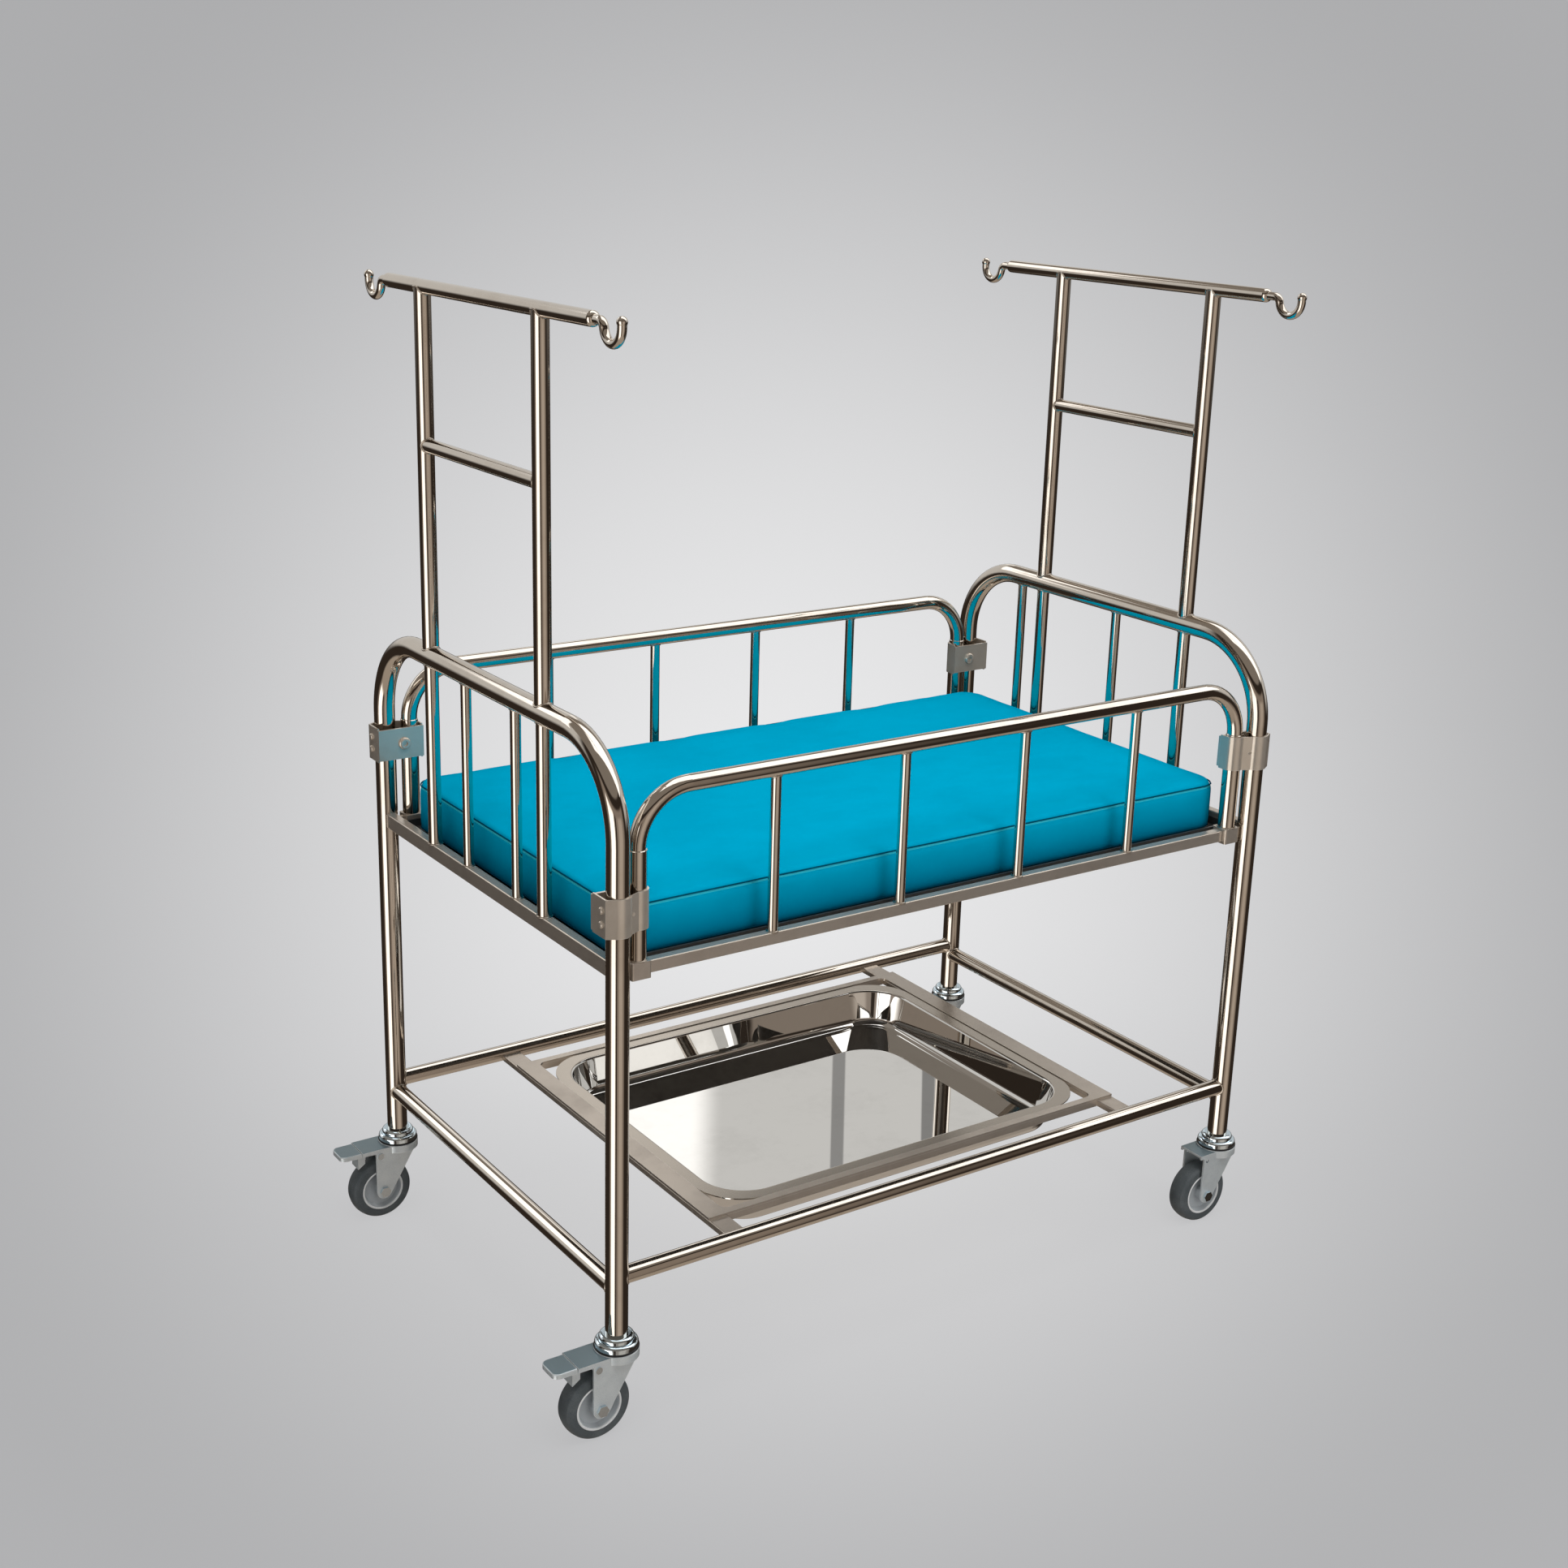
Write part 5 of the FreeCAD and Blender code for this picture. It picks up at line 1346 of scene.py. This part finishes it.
@dataclass(frozen=True)
class CasterRings:
    """Pale ring on both faces of each wheel, a painted highlight, and black ring in the gap below each
    bearing cap, a painted shade.

    Attributes:
        rim_bead: radius of the wheel rings' section.
        seal: radius of the black rings.
        seal_bead: radius of their section.
        seal_gap: height of the gap that they fill with painted shade.
        rim_points: points along a wheel ring.
        seal_points: points along a black ring.
    """

    rim_bead: float = 0.0014
    seal: float = 0.0238
    seal_bead: float = 0.0012
    seal_gap: float = 0.0020
    rim_points: int = 96
    seal_points: int = 64

    def build(self) -> list[bpy.types.Object]:
        """Make the rings.

        Returns:
            One piece for each wheel, and one for the black rings.
        """
        return [*(self._wheel(end, side) for end in Ends for side in Sides), self._seals()]

    def _wheel(self, end: Ends, side: Sides) -> bpy.types.Object:
        """Both pale rings of one wheel, where the tyre meets the wheel centre: a painted highlight.

        Args:
            end: end of the wheel's corner.
            side: side of the wheel's corner.

        Returns:
            The piece, riding on the wheel.
        """
        corner = f"{side.label}_{end.label}"
        radius, half = COT.rim
        middle = COT.corner(end, side) + (COT.axle[0], 0.0, COT.axle[1])
        out, over = circle(radius, self.rim_points)
        bundle = Bundle()
        for face in (-half, half):
            line = middle + np.column_stack([out, np.full(len(out), face), over])
            bundle.add(*closed_tube(line, self.rim_bead))
        rim = bundle.piece(f"wheel_rim_{corner}", RIM_HIGHLIGHT)
        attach(rim, f"wheel_{corner}")
        return rim

    def _seals(self) -> bpy.types.Object:
        """The four black rings, painted shade in the gaps below the bearing caps, as one piece on the
        frame.

        Returns:
            The piece.
        """
        low, _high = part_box("bearing_caps")
        out, over = circle(self.seal, self.seal_points)
        bundle = Bundle()
        for end in Ends:
            for side in Sides:
                middle = COT.corner(end, side) + (0.0, 0.0, low[2] - self.seal_gap / 2)
                line = middle + np.column_stack([out, over, np.zeros(len(out))])
                bundle.add(*closed_tube(line, self.seal_bead))
        shade_rings = bundle.piece("painted_gap_shade_rings", GAP_SHADE)
        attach(shade_rings, "frame")
        return shade_rings


# ---------------------------------------------------------------- CAD nodes


@dataclass(frozen=True)
class Dresser:
    """Puts finishes on the CAD nodes.

    Attributes:
        nodes: node name to its object.
    """

    nodes: dict[str, bpy.types.Object]

    def dress(self) -> None:
        """Give every node its finish."""
        for name, node in self.nodes.items():
            finish = self._finish_of(name).material()
            if not node.material_slots:
                node.data.materials.append(finish)
            for slot in node.material_slots:
                slot.material = finish

    @staticmethod
    def _finish_of(name: str) -> Finish:
        """The finish of a node.

        Args:
            name: the node's name, whose start decides.

        Returns:
            The finish, polished tube where nothing else fits.
        """
        table: tuple[tuple[tuple[str, ...], Finish], ...] = (
            (("wheel_tyre",), TYRE),
            (("wheel_centre",), HUB),
            (("bearing_caps", "wheel_axle", "brake_pin"), CAP),
            (("wheel_", "brake_", "caster_stems"), ZINC),
            (("mattress",), VINYL),
            (("tray_cross_bars", "bed_end_bar"), SATIN_Y),
            (("tray_holder", "tray_ledge", "guard_bottom_bar", "guard_end"), SATIN_X),
            (("deck_panel",), SHADED_DECK),
            (("tray",), MIRROR),
            (("clamp_",), CLAMP),
        )
        for starts, finish in table:
            if name.startswith(starts):
                return finish
        return POLISHED


# ---------------------------------------------------------------- studio


@dataclass(frozen=True)
class Softbox:
    """A rectangular lamp that polished metal doesn't mirror.

    Attributes:
        name: its name.
        place: where it hangs.
        width: its width.
        height: its height.
        power: its power in watts.
        aim: the point at which it looks.
    """

    name: str
    place: Point
    width: float
    height: float
    power: float
    aim: Point = (0.0, 0.0, 0.5)

    def build(self) -> None:
        """Hang the lamp."""
        data = bpy.data.lights.new(self.name, "AREA")
        data.shape = "RECTANGLE"
        data.size = self.width
        data.size_y = self.height
        data.energy = self.power
        lamp = bpy.data.objects.new(self.name, data)
        lamp.location = self.place
        way = Vector(self.aim) - Vector(self.place)
        lamp.rotation_euler = way.to_track_quat("-Z", "Y").to_euler()
        lamp.visible_glossy = False
        bpy.context.scene.collection.objects.link(lamp)


@dataclass(frozen=True)
class Studio:
    """Camera, light and backdrop.

    Attributes:
        eye: camera position in metres.
        yaw: turn of the camera in degrees, from looking along +Y.
        pitch: how far it looks up, in degrees.
        roll: its turn about the line of sight, in degrees.
        lens: focal length in mm.
        film: width and height of the camera's frame in mm.
        paper_from: start of the floor along the camera's way, behind it.
        paper_flat: end of the flat floor along that way.
        paper_bend: radius of the bend between floor and wall.
        paper_steps: points along the bend.
        paper_top: height of the wall.
        paper_side: half of the paper's width.
        air: brightness of the air around the object.
        lamps: a broad lamp overhead and a weaker one before the object's front.
    """

    eye: Point = (-1.41168, -2.00075, 1.37043)
    yaw: float = -34.67
    pitch: float = -17.70
    roll: float = 1.62
    lens: float = 48.47
    film: float = 36.0
    paper_from: float = -7.0
    paper_flat: float = 2.6
    paper_bend: float = 2.2
    paper_steps: int = 24
    paper_top: float = 9.0
    paper_side: float = 9.0
    air: float = 0.24
    lamps: tuple[Softbox, ...] = (
        Softbox("overhead", (-0.3, -0.9, 3.6), 3.0, 2.4, 72.0),
        Softbox("front", (0.6, -4.2, 1.8), 2.0, 1.6, 24.0),
    )

    def build(self) -> None:
        """Make the camera, the stage, the lamps and the air."""
        self._camera()
        self._backdrop()
        for lamp in self.lamps:
            lamp.build()
        self._world()

    def _ahead(self) -> Vector:
        """Direction in which the camera looks."""
        yaw, pitch = math.radians(self.yaw), math.radians(self.pitch)
        level = math.cos(pitch)
        return Vector((-math.sin(yaw) * level, math.cos(yaw) * level, math.sin(pitch)))

    def _camera(self) -> None:
        """Place the camera and make it the scene's."""
        ahead = self._ahead()
        roll = math.radians(self.roll)
        level = ahead.cross(Vector(UP)).normalized()
        rise = level.cross(ahead)
        right = level * math.cos(roll) + rise * math.sin(roll)
        up = rise * math.cos(roll) - level * math.sin(roll)
        data = bpy.data.cameras.new("camera")
        data.sensor_fit = "HORIZONTAL"
        data.sensor_width = self.film
        data.lens = self.lens
        data.clip_end = 60.0
        camera = bpy.data.objects.new("camera", data)
        turn = Matrix((right, up, -ahead)).transposed().to_4x4()
        camera.matrix_world = Matrix.Translation(Vector(self.eye)) @ turn
        bpy.context.scene.collection.objects.link(camera)
        bpy.context.scene.camera = camera

    def _backdrop(self) -> None:
        """Floor that curves up into a wall behind the object, square to the camera.

        Along the camera's way the bend is at flat + bend sin a, and bend (1 - cos a) high.
        """
        yaw = math.radians(self.yaw)
        ahead = np.array([-math.sin(yaw), math.cos(yaw)])
        side = np.array([math.cos(yaw), math.sin(yaw)]) * self.paper_side
        turn = np.linspace(0.0, math.pi / 2, self.paper_steps)
        bend = self.paper_flat + self.paper_bend * np.sin(turn)
        run = np.concatenate([[self.paper_from], bend, [self.paper_flat + self.paper_bend]])
        rise = np.concatenate([[0.0], self.paper_bend * (1.0 - np.cos(turn)), [self.paper_top]])
        middle = run[:, None] * ahead
        left, right = (np.column_stack([middle + way, rise]) for way in (-side, side))
        points = np.stack([left, right], axis=1).reshape(-1, 3)
        faces = [(2 * row, 2 * row + 1, 2 * row + 3, 2 * row + 2) for row in range(len(run) - 1)]
        paper = Stage("stage_paper_finish", eye=self.eye, ahead=tuple(self._ahead()))
        floor = mesh_piece("stage_paper", points, faces, paper)
        floor.visible_glossy = False

    def _world(self) -> None:
        """Even grey air, and the lit room that polished metal shows."""
        world = bpy.data.worlds.new("studio_air")
        bpy.context.scene.world = world
        graph = Graph(world)
        mirrored = graph.out("ShaderNodeLightPath", {}, {}, "Is Glossy Ray")
        air = graph.blend(mirrored, (self.air,) * 3, Room(self.yaw).colour(graph))
        shader = graph.out("ShaderNodeBackground", {}, {"Color": air, "Strength": 1.0})
        graph.node("ShaderNodeOutputWorld", {}, {"Surface": shader})
        bpy.context.scene.view_settings.view_transform = "Standard"


@dataclass(frozen=True)
class Room:
    """The room as polished metal shows it, by direction.

    A direction has an azimuth in degrees, 0 towards the camera and positive to the
    camera's right, and a height, the sine of its elevation.

    Attributes:
        yaw: turn of the camera in degrees.
        front: colour of the room on the camera's side.
        dark: colour of the unlit parts of the room.
        floor: colour of the floor straight below.
        far_wall: colour of the lit wall behind the object.
        sky: colour above, beside the overhead boxes.
        box: brightness of the overhead boxes.
        boxes: sideways and nearward limits of each overhead box, over its height.
        box_soft: soft edges of the boxes sideways and nearward.
        strips: azimuth limits, soft edge and colour of each upright band on the camera's side.
        panes: sideways limits, soft edge and brightness of each pane and bar of the far wall.
        pane_tint: colour of the panes at brightness 1.
        side_fade: azimuths over which the camera's side turns dark.
        back_fade: azimuths over which it gives way to the side behind the object.
        strip_fade: heights over which the upright bands end.
        roof_fade: heights over which the camera's side turns dark.
        pane_fade: heights over which the panes begin.
        foot_fade: heights over which the far wall turns dark towards the floor.
        floor_fade: heights over which the floor begins.
        sky_fade: heights over which the sky begins.
        box_fade: heights over which the overhead boxes begin.
    """

    yaw: float
    front: Colour = (0.29, 0.24, 0.20)
    dark: Colour = (0.035, 0.026, 0.020)
    floor: Colour = (0.42, 0.36, 0.30)
    far_wall: Colour = (0.66, 0.65, 0.63)
    sky: Colour = (0.25, 0.22, 0.19)
    box: float = 1.8
    boxes: tuple[tuple[float, float, float, float], ...] = (
        (-0.2, 2.2, -0.80, 0.16),
        (-2.4, -0.83, -1.30, -0.72),
    )
    box_soft: tuple[float, float] = (0.12, 0.06)
    strips: tuple[tuple[float, float, float, Colour], ...] = (
        (24.0, 46.0, 14.0, (0.51, 0.44, 0.375)),
        (-8.0, 0.0, 2.5, (0.035, 0.026, 0.020)),
        (-53.0, -18.0, 3.5, (1.9, 1.85, 1.78)),
    )
    panes: tuple[tuple[float, float, float, float], ...] = (
        (-0.110, -0.040, 0.016, 1.30),
        (0.027, 0.032, 0.001, 0.30),
        (0.069, 0.074, 0.001, 0.26),
    )
    pane_tint: Colour = (1.0, 0.985, 0.96)
    side_fade: Fade = (62.0, 76.0)
    back_fade: Fade = (86.0, 100.0)
    strip_fade: Fade = (0.25, 0.15)
    roof_fade: Fade = (0.30, 0.38)
    pane_fade: Fade = (0.22, 0.28)
    foot_fade: Fade = (0.12, -0.16)
    floor_fade: Fade = (-0.62, -0.75)
    sky_fade: Fade = (0.50, 0.56)
    box_fade: Fade = (0.32, 0.37)

    def colour(self, graph: Graph) -> Value:
        """Colour of the room in the direction of the ray.

        Args:
            graph: the world's graph.

        Returns:
            The colour.
        """
        yaw = math.radians(self.yaw)
        way = graph.out("ShaderNodeTexCoord", {}, {}, "Generated")
        east, north, height = (graph.axis(axis, way) for axis in "XYZ")
        near = east * math.sin(yaw) - north * math.cos(yaw)
        right = east * math.cos(yaw) + north * math.sin(yaw)
        azimuth = right.angle(near) * (180.0 / math.pi)
        behind = azimuth.size().between(*self.back_fade)
        room = graph.blend(behind, self._near(graph, azimuth, height), self._back(graph, right, height))
        room = graph.blend(height.between(*self.floor_fade), room, self.floor)
        room = graph.blend(height.between(*self.sky_fade), room, self.sky)
        across, toward = right / height, near / height
        side_soft, near_soft = self.box_soft
        for left, most, far, close in self.boxes:
            lamp = across.inside(left, most, side_soft) * toward.inside(far, close, near_soft)
            room = graph.blend(lamp * height.between(*self.box_fade), room, (self.box,) * 3)
        return room

    def _near(self, graph: Graph, azimuth: Value, height: Value) -> Value:
        """Colour of the camera's side: upright bands between dark edges, dark above.

        Args:
            graph: the world's graph.
            azimuth: azimuth of the ray.
            height: height of the ray.

        Returns:
            The colour.
        """
        walls = self.front
        for first, last, soft, colour in self.strips:
            band = azimuth.inside(first, last, soft) * height.between(*self.strip_fade)
            walls = graph.blend(band, walls, colour)
        walls = graph.blend(azimuth.size().between(*self.side_fade), walls, self.dark)
        return graph.blend(height.between(*self.roof_fade), walls, self.dark)

    def _back(self, graph: Graph, right: Value, height: Value) -> Value:
        """Colour of the wall behind the object: panes and bars, dark near the floor.

        Args:
            graph: the world's graph.
            right: sideways part of the ray.
            height: height of the ray.

        Returns:
            The colour.
        """
        back = self.far_wall
        for first, last, soft, power in self.panes:
            pane = right.inside(first, last, soft) * height.between(*self.pane_fade)
            back = graph.blend(pane, back, tuple(power * part for part in self.pane_tint))
        return graph.blend(height.between(*self.foot_fade), back, self.dark)


def main() -> None:
    """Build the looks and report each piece."""
    logging.basicConfig(level=logging.INFO)
    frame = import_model()
    Dresser(frame["nodes"]).dress()
    for part in (Mattress(), Welds(), CasterRings()):
        for piece in part.build():
            LOG.info("%s: %d points", piece.name, len(piece.data.vertices))
    Studio().build()


if __name__ == "__main__":
    main()
